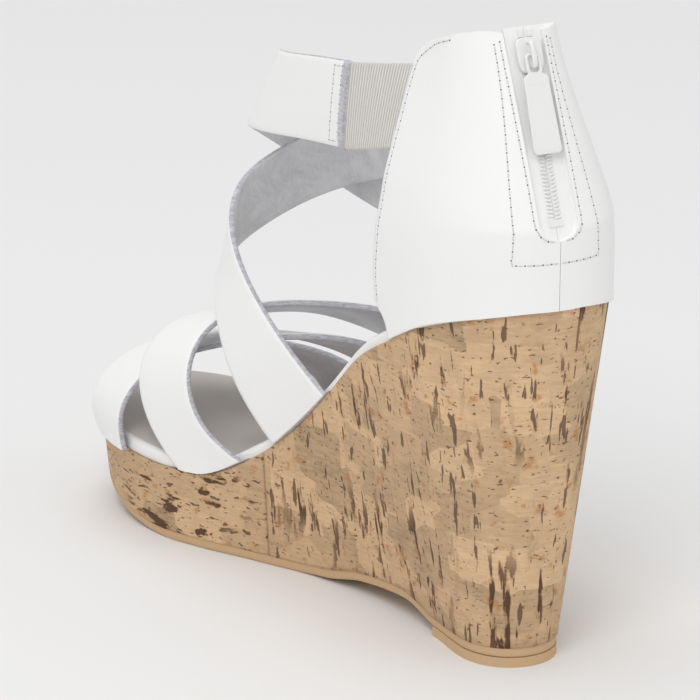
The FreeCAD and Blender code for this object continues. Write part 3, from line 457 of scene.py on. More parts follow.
def leather_look(name, shade, roughness=0.42, grain=0.12, coat=0.08):
    """Smooth finished leather: fine pebbles, faint creases and a slight cloudiness."""
    s = Shader(name, Coat_Weight=coat, Coat_Roughness=0.35, Specular_IOR_Level=0.45)
    point = s.object_point()
    cloud = s.noise(point, 30.0, 3.0, 0.5)
    pebbles = s.cells(point, 1500.0, "DISTANCE_TO_EDGE")
    creases = s.noise(s.object_point((1.0, 1.0, 1.0)), 260.0, 5.0, 0.6, 0.6)
    tone = s.blend(s.stretch(cloud, 0.35, 0.70), shade, scaled(shade, 0.955))
    bump_one = s.relief(s.stretch(pebbles, 0.0, 0.16), grain, 0.00008)
    bump_two = s.relief(creases, grain * 1.4, 0.00018, bump_one)
    return s.finish(Base_Color=tone, Roughness=roughness + cloud * 0.10, Normal=bump_two)


def suede_look(name, shade, nap=0.4):
    """Napped lining: short soft fibres that lie in patches."""
    s = Shader(name, Specular_IOR_Level=0.2, Sheen_Weight=0.25, Sheen_Roughness=0.5)
    point = s.object_point()
    patches = s.noise(point, 55.0, 4.0, 0.6, 0.8)
    fibres = s.noise(s.object_point((1.0, 1.0, 0.45)), 1300.0, 4.0, 0.7)
    tone = s.blend(s.stretch(patches * 0.7 + fibres * 0.3, 0.38, 0.62), scaled(shade, 0.86), scaled(shade,
                                                                                                    1.08))
    return s.finish(Base_Color=tone, Roughness=0.80 + patches * 0.15, Normal=s.relief(fibres, nap, 0.0002))


def edge_look(name, shade):
    """A cut leather edge: fibre layers along the strap, sealed with a matt paint."""
    s = Shader(name, Specular_IOR_Level=0.3)
    fibres = s.noise(s.object_point((0.6, 0.6, 2.2)), 700.0, 4.0, 0.65)
    tone = s.blend(s.stretch(fibres, 0.35, 0.65), scaled(shade, 0.80), scaled(shade, 1.15))
    return s.finish(Base_Color=tone, Roughness=0.60 + fibres * 0.2, Normal=s.relief(fibres, 0.35, 0.0002))


def rubber_look(name, shade):
    """Smooth tan rubber with a slight cloudy wear and fine moulded grain."""
    s = Shader(name, Specular_IOR_Level=0.4)
    cloud = s.noise(s.object_point(), 45.0, 5.0, 0.6)
    fine = s.noise(s.object_point(), 900.0, 3.0, 0.6)
    tone = s.blend(s.stretch(cloud, 0.35, 0.68), scaled(shade, 0.86), scaled(shade, 1.12))
    return s.finish(Base_Color=tone, Roughness=0.44 + cloud * 0.18, Normal=s.relief(fine, 0.18, 0.0002))


def elastic_look(name, shade):
    """Woven elastic: rounded ribs along it, crossed by fine weft, on the piece's own map in millimetres."""
    s = Shader(name, Specular_IOR_Level=0.3, Sheen_Weight=0.2)
    ribs = s.node("ShaderNodeTexWave", {"wave_type": "BANDS", "bands_direction": "X", "wave_profile": "SIN"},
                  {"Vector": s.own_uv(), "Scale": 0.30, "Distortion": 0.25, "Detail": 2.0,
                   "Detail Scale": 1.5}, 1)
    weft = s.node("ShaderNodeTexWave", {"wave_type": "BANDS", "bands_direction": "Y", "wave_profile": "SIN"},
                  {"Vector": s.own_uv(), "Scale": 0.55, "Distortion": 0.4}, 1)
    fuzz = s.noise(s.object_point(), 1800.0, 2.0, 0.6)
    tone = s.blend(s.stretch(ribs, 0.05, 0.7), scaled(shade, 0.70), shade)
    tone = s.blend(s.stretch(fuzz, 0.5, 0.8, 0.0, 0.25), tone, scaled(shade, 1.15))
    bump_one = s.relief(ribs, 0.9, 0.0004)
    bump_two = s.relief(weft * 0.6 + fuzz * 0.4, 0.4, 0.0002, bump_one)
    return s.finish(Base_Color=tone, Roughness=0.70 + fuzz * 0.15, Normal=bump_two)


def tape_look(name, shade):
    """Woven zip tape: a fine twill on the piece's own map in millimetres."""
    s = Shader(name, Specular_IOR_Level=0.3, Sheen_Weight=0.15)
    warp = s.node("ShaderNodeTexWave", {"wave_type": "BANDS", "bands_direction": "X"},
                  {"Vector": s.own_uv(), "Scale": 0.55}, 1)
    weft = s.node("ShaderNodeTexWave", {"wave_type": "BANDS", "bands_direction": "DIAGONAL"},
                  {"Vector": s.own_uv(), "Scale": 0.40}, 1)
    weave = warp * 0.5 + weft * 0.5
    tone = s.blend(s.stretch(weave, 0.1, 0.8), scaled(shade, 0.74), scaled(shade, 1.06))
    return s.finish(Base_Color=tone, Roughness=0.70 + weave * 0.15, Normal=s.relief(weave, 0.7, 0.0003))


def metal_look(name, shade):
    """White painted metal: an even gloss with faint flow marks."""
    s = Shader(name, Specular_IOR_Level=0.6, Coat_Weight=0.5, Coat_Roughness=0.12)
    flow = s.noise(s.object_point(), 120.0, 3.0, 0.5)
    wear = s.noise(s.object_point(), 600.0, 3.0, 0.6)
    tone = s.blend(s.stretch(flow, 0.35, 0.7), shade, scaled(shade, 0.90))
    return s.finish(Base_Color=tone, Roughness=0.22 + flow * 0.12, Normal=s.relief(wear, 0.05, 0.0001))


def coil_look(name, shade):
    """Glossy nylon zip coil."""
    s = Shader(name, Specular_IOR_Level=0.5)
    cloud = s.noise(s.object_point(), 500.0, 3.0, 0.6)
    tone = s.blend(s.stretch(cloud, 0.35, 0.7), shade, scaled(shade, 0.88))
    return s.finish(Base_Color=tone, Roughness=0.34 + cloud * 0.1, Normal=s.relief(cloud, 0.1, 0.0001))


def thread_look(name, shade):
    """Twisted sewing thread."""
    s = Shader(name, Specular_IOR_Level=0.3, Sheen_Weight=0.2)
    twist = s.noise(s.object_point((1.0, 1.0, 1.0)), 2600.0, 2.0, 0.5)
    tone = s.blend(s.stretch(twist, 0.4, 0.65), scaled(shade, 0.78), shade)
    return s.finish(Base_Color=tone, Roughness=0.6 + twist * 0.1, Normal=s.relief(twist, 0.5, 0.0002))


def plain_look(name, shade, roughness, fleck_scale, metallic=0.0):
    """A hidden inner material: one colour, flecked at its own grain."""
    s = Shader(name, Metallic=metallic)
    fleck = s.noise(s.object_point(), fleck_scale, 5.0, 0.65)
    tone = s.blend(s.stretch(fleck, 0.35, 0.68), scaled(shade, 0.82), scaled(shade, 1.14))
    return s.finish(Base_Color=tone, Roughness=roughness + fleck * 0.1, Normal=s.relief(fleck, 0.3, 0.0003))


def look(name):
    """A finish by its name, made the first time it is asked for."""
    if name in bpy.data.materials:
        return bpy.data.materials[name]
    makers = {
        "cork_heel_panel": lambda: cork_look(name, True),
        "cork_front_panel": lambda: cork_look(name, False),
        "white_leather": lambda: leather_look(name, tint("leather")),
        "footbed_cover": lambda: leather_look(name, tint("sock"), 0.36, 0.10, 0.12),
        "strap_lining": lambda: suede_look(name, tint("suede")),
        "cut_edge": lambda: edge_look(name, tint("edge")),
        "tan_sole": lambda: rubber_look(name, tint("sole")),
        "cream_elastic": lambda: elastic_look(name, tint("elastic")),
        "zip_tape": lambda: tape_look(name, scaled(tint("zip_white"), 0.86)),
        "zip_metal": lambda: metal_look(name, scaled(tint("zip_white"), 0.84)),
        "zip_coil": lambda: coil_look(name, tint("zip_white")),
        "sewing_thread": lambda: thread_look(name, scaled(tint("leather"), 0.92)),
        # Near black beads between stitches: painted shade for each needle hole.
        "needle_hole": lambda: plain_look(name, (0.12, 0.115, 0.11), 0.7, 900.0),
        "wedge_foam": lambda: plain_look(name, (0.55, 0.50, 0.42), 0.8, 300.0),
        "steel": lambda: plain_look(name, (0.55, 0.56, 0.58), 0.3, 500.0, 1.0),
        "fibre_board": lambda: plain_look(name, (0.42, 0.32, 0.22), 0.85, 400.0),
        "footbed_foam": lambda: plain_look(name, (0.70, 0.68, 0.63), 0.9, 500.0),
    }
    return makers[name]()


# ---------------------------------------------------------------------------------------------
# Wedge
# ---------------------------------------------------------------------------------------------
def wrap_panel(name, turns, profile, low_gap, **facts):
    """A closed profile of (inset, up, rise) carried along a stretch of the wedge's outline and capped at
    its ends."""
    inset = np.array([p[0] for p in profile])[None, :]
    up = np.array([p[1] for p in profile])[None, :]
    rise = np.array([p[2] for p in profile])[None, :]
    x, station, z = wedge_wall(turns[:, None], up, inset, low_gap)
    rows, columns = len(turns), len(profile)
    caps = [range(columns), range((rows - 1) * columns, rows * columns)]
    make_piece(name, set_down(x, station, z + rise), grid_faces(rows, columns, False, True), caps=caps,
               **facts)


def turn_at(station):
    """The turn on the inner side whose rim station is this."""
    return math.acos(1.0 - 2.0 * station / LENGTH) / (2.0 * math.pi)


class SANDAL_OT_wedge(bpy.types.Operator):
    """Cork panels round the wedge and the tan outsole"""
    bl_idname = "sandal.wedge"
    bl_label = "Wedge"

    def execute(self, context):
        seam = turn_at(CORK_SEAM)
        joint = 0.00045
        walls = np.linspace(0.0, 1.0, 44)
        profile = [(0.0, up, 0.0) for up in walls[:-1]]
        profile += [(0.05, 1.0, -0.35), (0.25, 1.0, -0.08), (0.6, 1.0, 0.0), (1.3, 1.0, 0.0), (1.4, 1.0,
                                                                                               -1.0),
                    (1.4, 0.6, 0.0), (1.4, 0.3, 0.0), (1.4, 0.0, 0.0)]
        front_turns = np.linspace(seam + joint, 1.0 - seam - joint, 360)
        heel_turns = np.linspace(1.0 - seam + joint, 1.0 + seam - joint, 420)
        wrap_panel("cork_front_panel", front_turns, profile, size("sole"), slot="cork_front",
                   stands_for=["cork_wrap_front"], looks=[look("cork_front_panel")])
        wrap_panel("cork_heel_panel", heel_turns, profile, size("sole"), slot="cork_heel",
                   stands_for=["cork_wrap_heel"], looks=[look("cork_heel_panel")])
        self.outsole()
        return {"FINISHED"}

    def outsole(self):
        """The outsole: at each station a flat closed section from edge to edge with a rounded lower
        corner."""
        thick = size("sole")
        corner = [(0.0, thick), (0.0, 0.9), (0.12, 0.45), (0.4, 0.14), (0.9, 0.0)]
        share = (1.0 - np.cos(np.pi * np.linspace(0.0, 1.0, 260))) / 2.0
        inner_turn = np.arccos(1.0 - 2.0 * share) / (2.0 * np.pi)
        loops = []
        for turn, steps in ((inner_turn, corner), (1.0 - inner_turn, corner[::-1])):
            for inset, rise in steps:
                x, station, _ = wedge_wall(turn, 0.0, inset)
                loops.append(set_down(x, station, sole_height(station) + rise))
        across = np.linspace(0.0, 1.0, 14)[1:-1]
        right, left = loops[:len(corner)], loops[len(corner):]
        bottom = [right[-1] * (1 - a) + left[0] * a for a in across]
        top = [left[-1] * (1 - a) + right[0] * a for a in across]
        points = np.stack(right + bottom + left + top, axis=1)
        make_piece("outsole_tan", points, grid_faces(points.shape[0], points.shape[1], False, True),
                   slot="tan_sole",
                   stands_for=["outsole"], looks=[look("tan_sole")], sharp=50)


class SANDAL_OT_footbed(bpy.types.Operator):
    """Leather roll round the footbed's edge and its smooth cover"""
    bl_idname = "sandal.footbed"
    bl_label = "Footbed"

    def execute(self, context):
        thick = size("footbed")
        turns = np.linspace(0.0, 1.0, 420, endpoint=False)
        angle = np.linspace(0.0, 0.5 * np.pi, 7)
        profile = [(1.6, 0.0), (1.6, thick - 1.6)]
        profile += [(1.6 + 1.5 * (1 - math.cos(a)), thick - 1.5 + 1.5 * math.sin(a)) for a in angle]
        profile += [(3.8, thick), (3.8, 0.0)]
        loops = []
        for inset, rise in profile:
            x, station = rim_edge(turns, inset)
            loops.append(set_down(x, station, rim_height(station) + rise))
        points = np.stack(loops, axis=1)
        make_piece("footbed_roll", points, grid_faces(len(turns), len(profile), True, True),
                   slot="white_leather",
                   stands_for=["footbed_binding"], looks=[look("white_leather")], sharp=60)
        self.cover(thick)
        return {"FINISHED"}

    def cover(self, thick):
        """The cover: station by share across; it follows the rim's height, flat across and rounded down
        towards its edges.
        """
        share = (1.0 - np.cos(np.pi * np.linspace(0.0, 1.0, 240))) / 2.0
        turn = np.arccos(1.0 - 2.0 * share) / (2.0 * np.pi)
        inner_x, station = rim_edge(turn, 3.0)
        outer_x, _ = rim_edge(1.0 - turn, 3.0)
        across = np.sin(0.5 * np.pi * np.linspace(-1.0, 1.0, 61))[None, :]
        centre, half = (inner_x + outer_x)[:, None] / 2.0, (inner_x - outer_x)[:, None] / 2.0
        x = centre + half * across
        s = np.broadcast_to(station[:, None], x.shape)
        edge = 0.8 - 0.55 * np.abs(across) ** 10
        level = rim_height(s) + thick
        top = set_down(x, s, level + edge)
        under = set_down(x[:, ::-1], s, level + 0.02)
        points = np.concatenate([top, under], axis=1)
        make_piece("footbed_cover", points, grid_faces(points.shape[0], points.shape[1], False, True),
                   slot="sock",
                   stands_for=["sock_lining"], looks=[look("footbed_cover")], sharp=70)


# ---------------------------------------------------------------------------------------------
# Straps
# ---------------------------------------------------------------------------------------------
def rim_x(station, side):
    half = inner_half(station) if side > 0 else outer_half(station)
    width = half * rounding(station, 0.0, LENGTH, 50.0 if side > 0 else 66.0)
    return float(middle(station) + side * (width - 0.7))


def foot(station, side):
    """A strap's end on the rim."""
    return (rim_x(station, side), station, float(rim_height(station)) - 3.0)


def over(across, station, height):
    return (HEEL_X + across, station, height)


def strap_routes():
    """Front and rear edge of each strap, from the inner side over the foot to the outer side."""
    return {
        "toe_strap": (
            [foot(206.0, 1), over(58.0, 207.0, 36.0), over(50.5, 206.5, 43.0), over(32.0, 206.0, 47.0),
             over(10.0, 198.0, 44.0), over(-5.0, 186.0, 36.0), foot(178.0, -1)],
            [foot(195.5, 1), over(61.2, 190.0, 37.0), over(53.0, 182.0, 48.0), over(32.0, 178.0, 54.0),
             over(8.0, 169.0, 52.0), over(-12.0, 160.0, 41.0), foot(152.0, -1)]),
        "diagonal_strap": (
            [foot(194.0, 1), over(66.0, 192.0, 38.0), over(60.0, 190.0, 47.0), over(44.0, 182.0, 55.5),
             over(22.0, 167.0, 59.0), over(0.0, 153.0, 54.0), over(-16.0, 143.0, 39.0), foot(138.0, -1)],
            [foot(174.0, 1), over(65.0, 172.0, 38.0), over(58.0, 168.0, 50.0), over(42.0, 157.0, 59.5),
             over(20.0, 143.0, 64.0), over(-1.0, 129.0, 62.0), over(-16.0, 119.0, 50.0), foot(115.0, -1)]),
        "vamp_strap": (
            [foot(146.0, 1), over(60.5, 162.0, 38.0), over(59.2, 169.5, 53.0), over(46.8, 172.0, 63.8),
             over(30.0, 166.0, 66.5), over(13.0, 155.0, 68.5), over(-5.0, 140.0, 64.0), over(-17.0, 120.0,
                                                                                             53.0),
             foot(111.0, -1)],
            [foot(125.0, 1), over(53.5, 139.0, 44.0), over(54.0, 145.0, 57.0), over(45.0, 150.0, 68.0),
             over(29.0, 150.0, 73.0), over(13.0, 139.0, 75.0), over(-4.0, 121.0, 75.0), over(-17.0, 101.0,
                                                                                             68.0),
             foot(90.0, -1)]),
        "instep_strap": (
            [foot(114.0, 1), over(45.0, 128.0, 56.0), over(46.5, 139.0, 72.0), over(41.0, 152.0, 84.0),
             over(28.0, 163.0, 91.0), over(14.0, 153.0, 103.0), over(-1.0, 125.0, 117.0), over(-16.0, 92.0,
                                                                                               127.0),
             over(-20.6, 62.0, 133.0), over(-20.9, 46.0, 135.0)],
            [foot(87.0, 1), over(38.0, 104.0, 73.5), over(41.5, 122.0, 86.0), over(41.5, 140.0, 101.0),
             over(32.0, 153.0, 114.0), over(18.0, 146.0, 126.0), over(1.0, 119.0, 140.0), over(-12.0, 88.0,
                                                                                               150.0),
             over(-15.6, 62.0, 155.0), over(-16.1, 46.0, 156.0)]),
        "ankle_strap": (
            [over(31.8, 80.5, 142.5), over(33.5, 110.0, 138.0), over(34.5, 136.0, 133.5), over(28.0, 155.0,
                                                                                               128.0),
             over(14.0, 158.0, 118.0), over(1.0, 142.0, 108.0), over(-13.0, 112.0, 99.0), over(-25.6, 78.0,
                                                                                               93.5),
             over(-29.8, 56.0, 98.0), over(-30.2, 46.0, 101.0)],
            [over(29.8, 80.5, 169.0), over(31.5, 104.0, 165.0), over(30.5, 123.0, 161.0), over(24.0, 139.0,
                                                                                               156.0),
             over(9.0, 141.0, 146.5), over(-6.0, 127.0, 136.0), over(-17.0, 102.0, 126.0), over(-26.0, 75.0,
                                                                                                120.0),
             over(-29.6, 56.0, 119.0), over(-30.0, 46.0, 118.0)]),
    }


def route_bow(front_point, rear_point):
    """How far the rim bows from the straight line between a strap's end corners."""
    side = 1 if front_point[0] > rim_x(front_point[1], -1) + 20.0 else -1
    seat = np.array(foot(0.5 * (front_point[1] + rear_point[1]), side))
    return seat - 0.5 * (np.array(front_point) + np.array(rear_point))


def band_frame(front_route, rear_route, count, seated=(False, False)):
    """Edge lines, outward normals and the crown of a band, at even steps along it. The normal is square to
    the band's direction and to the line from its front to its rear edge."""
    low, high = spline(front_route, count), spline(rear_route, count)
    along = unit(np.gradient(low, axis=0)) + unit(np.gradient(high, axis=0))
    across = high - low
    flip = np.array([1.0, -1.0, 1.0])
    normal = unit(np.cross(across * flip, along * flip)) * flip
    share = np.linspace(0.0, 1.0, count)[:, None]
    bow = np.zeros((count, 3))
    if seated[0]:
        bow = bow + route_bow(front_route[0], rear_route[0]) * np.maximum(1.0 - share / 0.3, 0.0) ** 2
    if seated[1]:
        bow = bow + route_bow(front_route[-1], rear_route[-1]) * np.maximum(1.0 - (1.0 - share) / 0.3,
                                                                            0.0) ** 2
    crown = 0.3 + np.sum(bow * normal, axis=1)
    return low, high, normal, crown


def band_piece(name, band, outside, inside, looks, trim=True, columns=26, **facts):
    """A closed leather band. Each section goes over the outer face, down the rounded rear edge, back along
    the lining and up the front edge: a point mixes the two edge lines by its share and rises by the
    parabola of the crown plus its lift. Faces, edges and lining have their own finish."""
    low, high, normal, crown = band
    rows = len(low)
    width = np.linalg.norm(high - low, axis=1)
    round_off = 0.5
    face = np.linspace(0.0, 1.0, columns)
    outer_lift = np.full(columns, outside)
    inner_lift = np.full(columns, inside)
    outer_lift[[0, -1]] -= 0.28
    inner_lift[[0, -1]] += 0.2
    edge = np.array([0.72, 0.5, 0.28])
    lift = np.concatenate([outer_lift, inside + (outside - inside) * edge, inner_lift[::-1],
                           inside + (outside - inside) * edge[::-1]])
    push = np.concatenate([np.zeros(columns), [0.16, 0.2, 0.16], np.zeros(columns), [-0.16, -0.2, -0.16]])
    share = np.concatenate([face, np.ones(3), face[::-1], np.zeros(3)])
    inset = np.concatenate([(1 - 2 * face) * round_off, [-round_off + 0.1] * 3,
                            (1 - 2 * face[::-1]) * round_off,
                            [round_off - 0.1] * 3])
    row = np.arange(rows)[:, None]
    shares = share[None, :] + (0.55 * inset[None, :] + push[None, :]) / width[:, None] * 0.9
    base = low[:, None, :] * (1.0 - shares[..., None]) + high[:, None, :] * shares[..., None]
    rise = crown[:, None] * 4.0 * shares * (1.0 - shares) + lift[None, :]
    points = base + normal[:, None, :] * rise[..., None]
    x, s, z = points[..., 0], points[..., 1], points[..., 2]
    if trim:
        z = np.maximum(z, rim_height(s) + 0.03)
    metres = set_down(x, s, z)
    steps = np.linalg.norm(np.diff(0.5 * (low + high), axis=0), axis=1)
    run = np.concatenate([[0.0], np.cumsum(steps)])
    uv = np.stack(np.broadcast_arrays(run[:, None], share[None, :] * width[:, None]), axis=-1)
    count = len(share)
    faces = grid_faces(rows, count, False, True)
    column = faces[:, 0] % count
    lining = (column >= columns + 3) & (column < 2 * columns + 2)
    kind = np.where(column < columns - 1, 0, np.where(lining, 2, 1))
    caps = [range(count), range((rows - 1) * count, rows * count)]
    kinds = np.concatenate([kind, [1, 1]])
    return make_piece(name, metres, faces, uv, looks=[look(item) for item in looks], face_looks=kinds,
                      caps=caps,
                      sharp=55, **facts)


STRAP_LOOKS = ("white_leather", "cut_edge", "strap_lining")


class SANDAL_OT_straps(bpy.types.Operator):
    """The five leather straps, each with its lining and painted cut edge"""
    bl_idname = "sandal.straps"
    bl_label = "Straps"

    def execute(self, context):
        for name, (front, rear) in strap_routes().items():
            seated = (name != "ankle_strap", name not in ("ankle_strap", "instep_strap"))
            band = band_frame(front, rear, 170, seated)
            band_piece(f"{name}_leather", band, size("strap_outer"), -size("strap_lining"), STRAP_LOOKS,
                       trim=seated[0], slot="white_leather", stands_for=[f"{name}_outer", f"{name}_lining"])
        return {"FINISHED"}


def beside(point, shift):
    return (point[0], point[1] - shift, point[2])


class SANDAL_OT_elastic(bpy.types.Operator):
    """Ribbed elastic beside the ankle and the strap's folded end round it"""
    bl_idname = "sandal.elastic"
    bl_label = "Elastic and fold"

    def execute(self, context):
        front, rear = (route[0] for route in strap_routes()["ankle_strap"])
        fold = 2.4
        elastic_front = [over(23.2, 39.5, 151.5), over(24.7, 50.5, 149.5), over(28.6, 64.5, 146.0),
                         beside(front, fold - 0.6)]
        elastic_rear = [over(16.0, 39.5, 175.0), over(17.7, 50.5, 174.0), over(23.6, 64.5, 171.5),
                        beside(rear, fold - 0.6)]
        band_piece("ankle_elastic", band_frame(elastic_front, elastic_rear, 60), 0.85, -0.35,
                   ("cream_elastic",) * 3, trim=False, columns=90, slot="elastic",
                   stands_for=["elastic_gore"])
        fold_front = [beside(front, fold + 0.2), beside(front, 0.5 * fold), beside(front, -0.4)]
        fold_rear = [beside(rear, fold + 0.2), beside(rear, 0.5 * fold), beside(rear, -0.4)]
        band_piece("ankle_fold", band_frame(fold_front, fold_rear, 12), 1.55, -1.0, ("cut_edge",) * 3,
                   trim=False, slot="strap_edge", stands_for=["loop_fold"])
        return {"FINISHED"}


# ---------------------------------------------------------------------------------------------
# Heel counter
# ---------------------------------------------------------------------------------------------
def counter_back(z):
    """Station of the counter's back: upright over the seat, then leaning forward along the zip."""
    return np.where(z < ZIP_FOOT_Z, -0.5 * ease((z - SEAT_Z) / 24.0),
                    -0.5 + (z - ZIP_FOOT_Z) * math.tan(LEAN))


def counter_width(station, z, side, offset):
    half = np.where(side > 0, inner_half(station), outer_half(station))
    return half * counter_share(z) + offset


def counter_at_station(side, station, z, offset):
    """A point of a counter face from its station and height."""
    back = counter_back(z) - offset
    share = counter_share(z)
    x = middle(station) + side * counter_width(station, z, side, offset) \
        * rounding(station, back, 2.0 * LENGTH, 1.0, 36.0 * share)
    return x, station, z


def counter_at_offset(side, off_middle, z, offset):
    """A point of a counter face from its distance off the back's middle plane: the rounding formula turned
    round for the station."""
    back = counter_back(z) - offset
    width = counter_width(np.maximum(back, 0.0) + 4.0, z, side, offset)
    share = np.clip(off_middle / width, 0.0, 0.98)
    heel = (1.0 - share ** 2.1) ** (1.0 / 2.1)
    return back + 36.0 * counter_share(z) * (1.0 - heel)


def slot_half(z):
    """Half width of the zip's slot at a height: straight sides, a round foot, and under it the back seam."""
    up = (z - ZIP_BASE[2]) / math.cos(LEAN)
    half = size("zip_half")
    foot_arc = np.sqrt(np.maximum(half ** 2 - (half - np.clip(up, 0.0, half)) ** 2, 0.0))
    return np.maximum(foot_arc, 0.10)


def counter_grid(side, offsets, rows, across):
    """Points of one quarter's faces. Heights run from the rim to the top corner, stations from the slot's
    edge to the front edge."""
    peak = COUNTER_TOP - 1.1
    climb = 1.0 - (1.0 - np.linspace(0.0, 1.0, rows)) ** 1.5
    climb = climb[:, None]
    across = across[None, :]
    z = SEAT_Z + (peak - SEAT_Z) * climb + 0.0 * across
    for _ in range(6):
        start = counter_at_offset(side, slot_half(z), z, offsets)
        end = np.maximum(front_edge(z), start + 0.05)
        station = start + (end - start) * across
        floor = rim_height(np.maximum(station, 0.0)) + 0.02
        z = floor + (peak - floor) * climb
    return counter_at_station(side, station, z, offsets)


class SANDAL_OT_counter(bpy.types.Operator):
    """The two leather quarters of the closed heel, with their lining"""
    bl_idname = "sandal.counter"
    bl_label = "Heel counter"

    def execute(self, context):
        for side, name in ((1.0, "inner"), (-1.0, "outer")):
            self.quarter(side, name)
        return {"FINISHED"}

    def quarter(self, side, name):
        """A closed leather shell: outer face, rolled front edge, lining face and slot edge."""
        spread = np.linspace(0.0, 1.0, 64) ** 1.35
        roll = [0.86, 0.55, -0.25, -1.05, -1.36]
        reach = [1.002, 1.006, 1.008, 1.006, 1.002]
        slot_roll = [-1.3, -0.6, 0.2, 0.8]
        offsets = np.concatenate([np.full(64, OUTER_FACE), roll, np.full(64, LINING_FACE), slot_roll])
        across = np.concatenate([spread, reach, spread[::-1], [0.0] * 4])
        x, station, z = counter_grid(side, offsets[None, :], 96, across)
        points = set_down(x, station, z)
        columns = len(across)
        faces = grid_faces(96, columns, False, True)
        column = faces[:, 0] % columns
        kind = np.where((column >= 68) & (column < 131), 1, 0)
        caps = [range(columns), range(95 * columns, 96 * columns)]
        stands = ["quarter_outer_side"]
        if side > 0:
            stands = ["quarter_inner_side", "quarter_lining", "heel_stiffener"]
        make_piece(f"quarter_{name}_leather", points, faces, caps=caps, slot="white_leather",
                   stands_for=stands,
                   looks=[look("white_leather"), look("strap_lining")],
                   face_looks=np.concatenate([kind, [0, 0]]), sharp=65)


# ---------------------------------------------------------------------------------------------
# Stitching
# ---------------------------------------------------------------------------------------------
def stitch_run(name, line, outward, pitch):
    """Stitches along a line of points: each is a small capsule that dips at both ends, with a dark bead
    between it and the next: painted shade standing for the needle hole. All are placed at once from their own
    middle, direction and outward normal."""
    line, outward = np.asarray(line), unit(np.asarray(outward))
    run = np.concatenate([[0.0], np.cumsum(np.linalg.norm(np.diff(line, axis=0), axis=1))])
    count = max(int(run[-1] / pitch), 1)
    at = (np.arange(count) + 0.5) * run[-1] / count
    centre = np.stack([np.interp(at, run, line[:, k]) for k in range(3)], -1)
    later, sooner = (np.stack([np.interp(at + step, run, line[:, k]) for k in range(3)],
                              -1) for step in (0.3, -0.3))
    normal = unit(np.stack([np.interp(at, run, outward[:, k]) for k in range(3)], -1))
    ahead = unit(later - sooner)
    beside_it = unit(np.cross(normal, ahead))
    normal = np.cross(ahead, beside_it)
    radius = size("thread") / 2.0
    rings = np.array([-1.0, -0.82, -0.4, 0.0, 0.4, 0.82, 1.0])
    angle = np.arange(6) * np.pi / 3.0
    half = 0.36 * run[-1] / count
    swell = np.sqrt(np.maximum(1.0 - rings ** 4, 0.0))

    def place_all(reach, thick, drop):
        """Every capsule's points: along by reach, round by thick, sunk at its ends by drop."""
        local = np.zeros((len(rings), len(angle), 3))
        local[..., 0] = rings[:, None] * reach
        local[..., 1] = (swell[:, None] * np.cos(angle)[None, :]) * thick
        local[..., 2] = (swell[:, None] * np.sin(angle)[None, :]) * thick * 0.8
        local[..., 2] -= drop * (rings[:, None] ** 2) * thick
        frame_axes = np.stack([ahead, beside_it, normal], axis=1)
        return np.einsum("rak,nkj->nraj", local, frame_axes) + centre[:, None, None, :]

    threads = place_all(half, radius, 0.7)
    ring_faces = grid_faces(len(rings), len(angle), False, True)
    block = len(rings) * len(angle)
    faces = (ring_faces[None] + (np.arange(count) * block)[:, None, None]).reshape(-1, 4)
    metres = threads.reshape(-1, 3)
    metres = set_down(metres[:, 0], metres[:, 1], metres[:, 2])
    make_piece(name, metres, faces, looks=[look("sewing_thread")])
    # Dark beads sunk between the stitches: painted shade for each needle hole, not an opening in the leather.
    shift = 0.5 * run[-1] / count
    centre = centre + ahead * shift - normal * radius * 0.35
    hole_shade_beads = place_all(0.26, 0.24, 0.0).reshape(-1, 3)
    hole_shade_beads = set_down(hole_shade_beads[:, 0], hole_shade_beads[:, 1], hole_shade_beads[:, 2])
    make_piece(f"{name}_holes", hole_shade_beads, faces, looks=[look("needle_hole")])


def counter_line(side, station, z, lift):
    """A line over a quarter's outer face and its outward normals. A normal is the cross product of the
    face's steps along the station and the height, turned away from the foot."""
    step = 0.5
    line, along, upward = (
        np.stack(np.broadcast_arrays(*counter_at_station(side, station + a, z + b, OUTER_FACE)), -1)
        for a, b in ((0.0, 0.0), (step, 0.0), (0.0, step)))
    square = unit(np.cross(along - line, upward - line))
    away = np.array([side, -0.35, 0.15])
    square = square * np.sign(np.sum(square * away, axis=1, keepdims=True) + 1e-9)
    return line + square * lift, square


def back_line(side, off_middle, z, lift):
    """The same, given the distance off the back's middle plane."""
    return counter_line(side, counter_at_offset(side, off_middle, z, OUTER_FACE), z, lift)


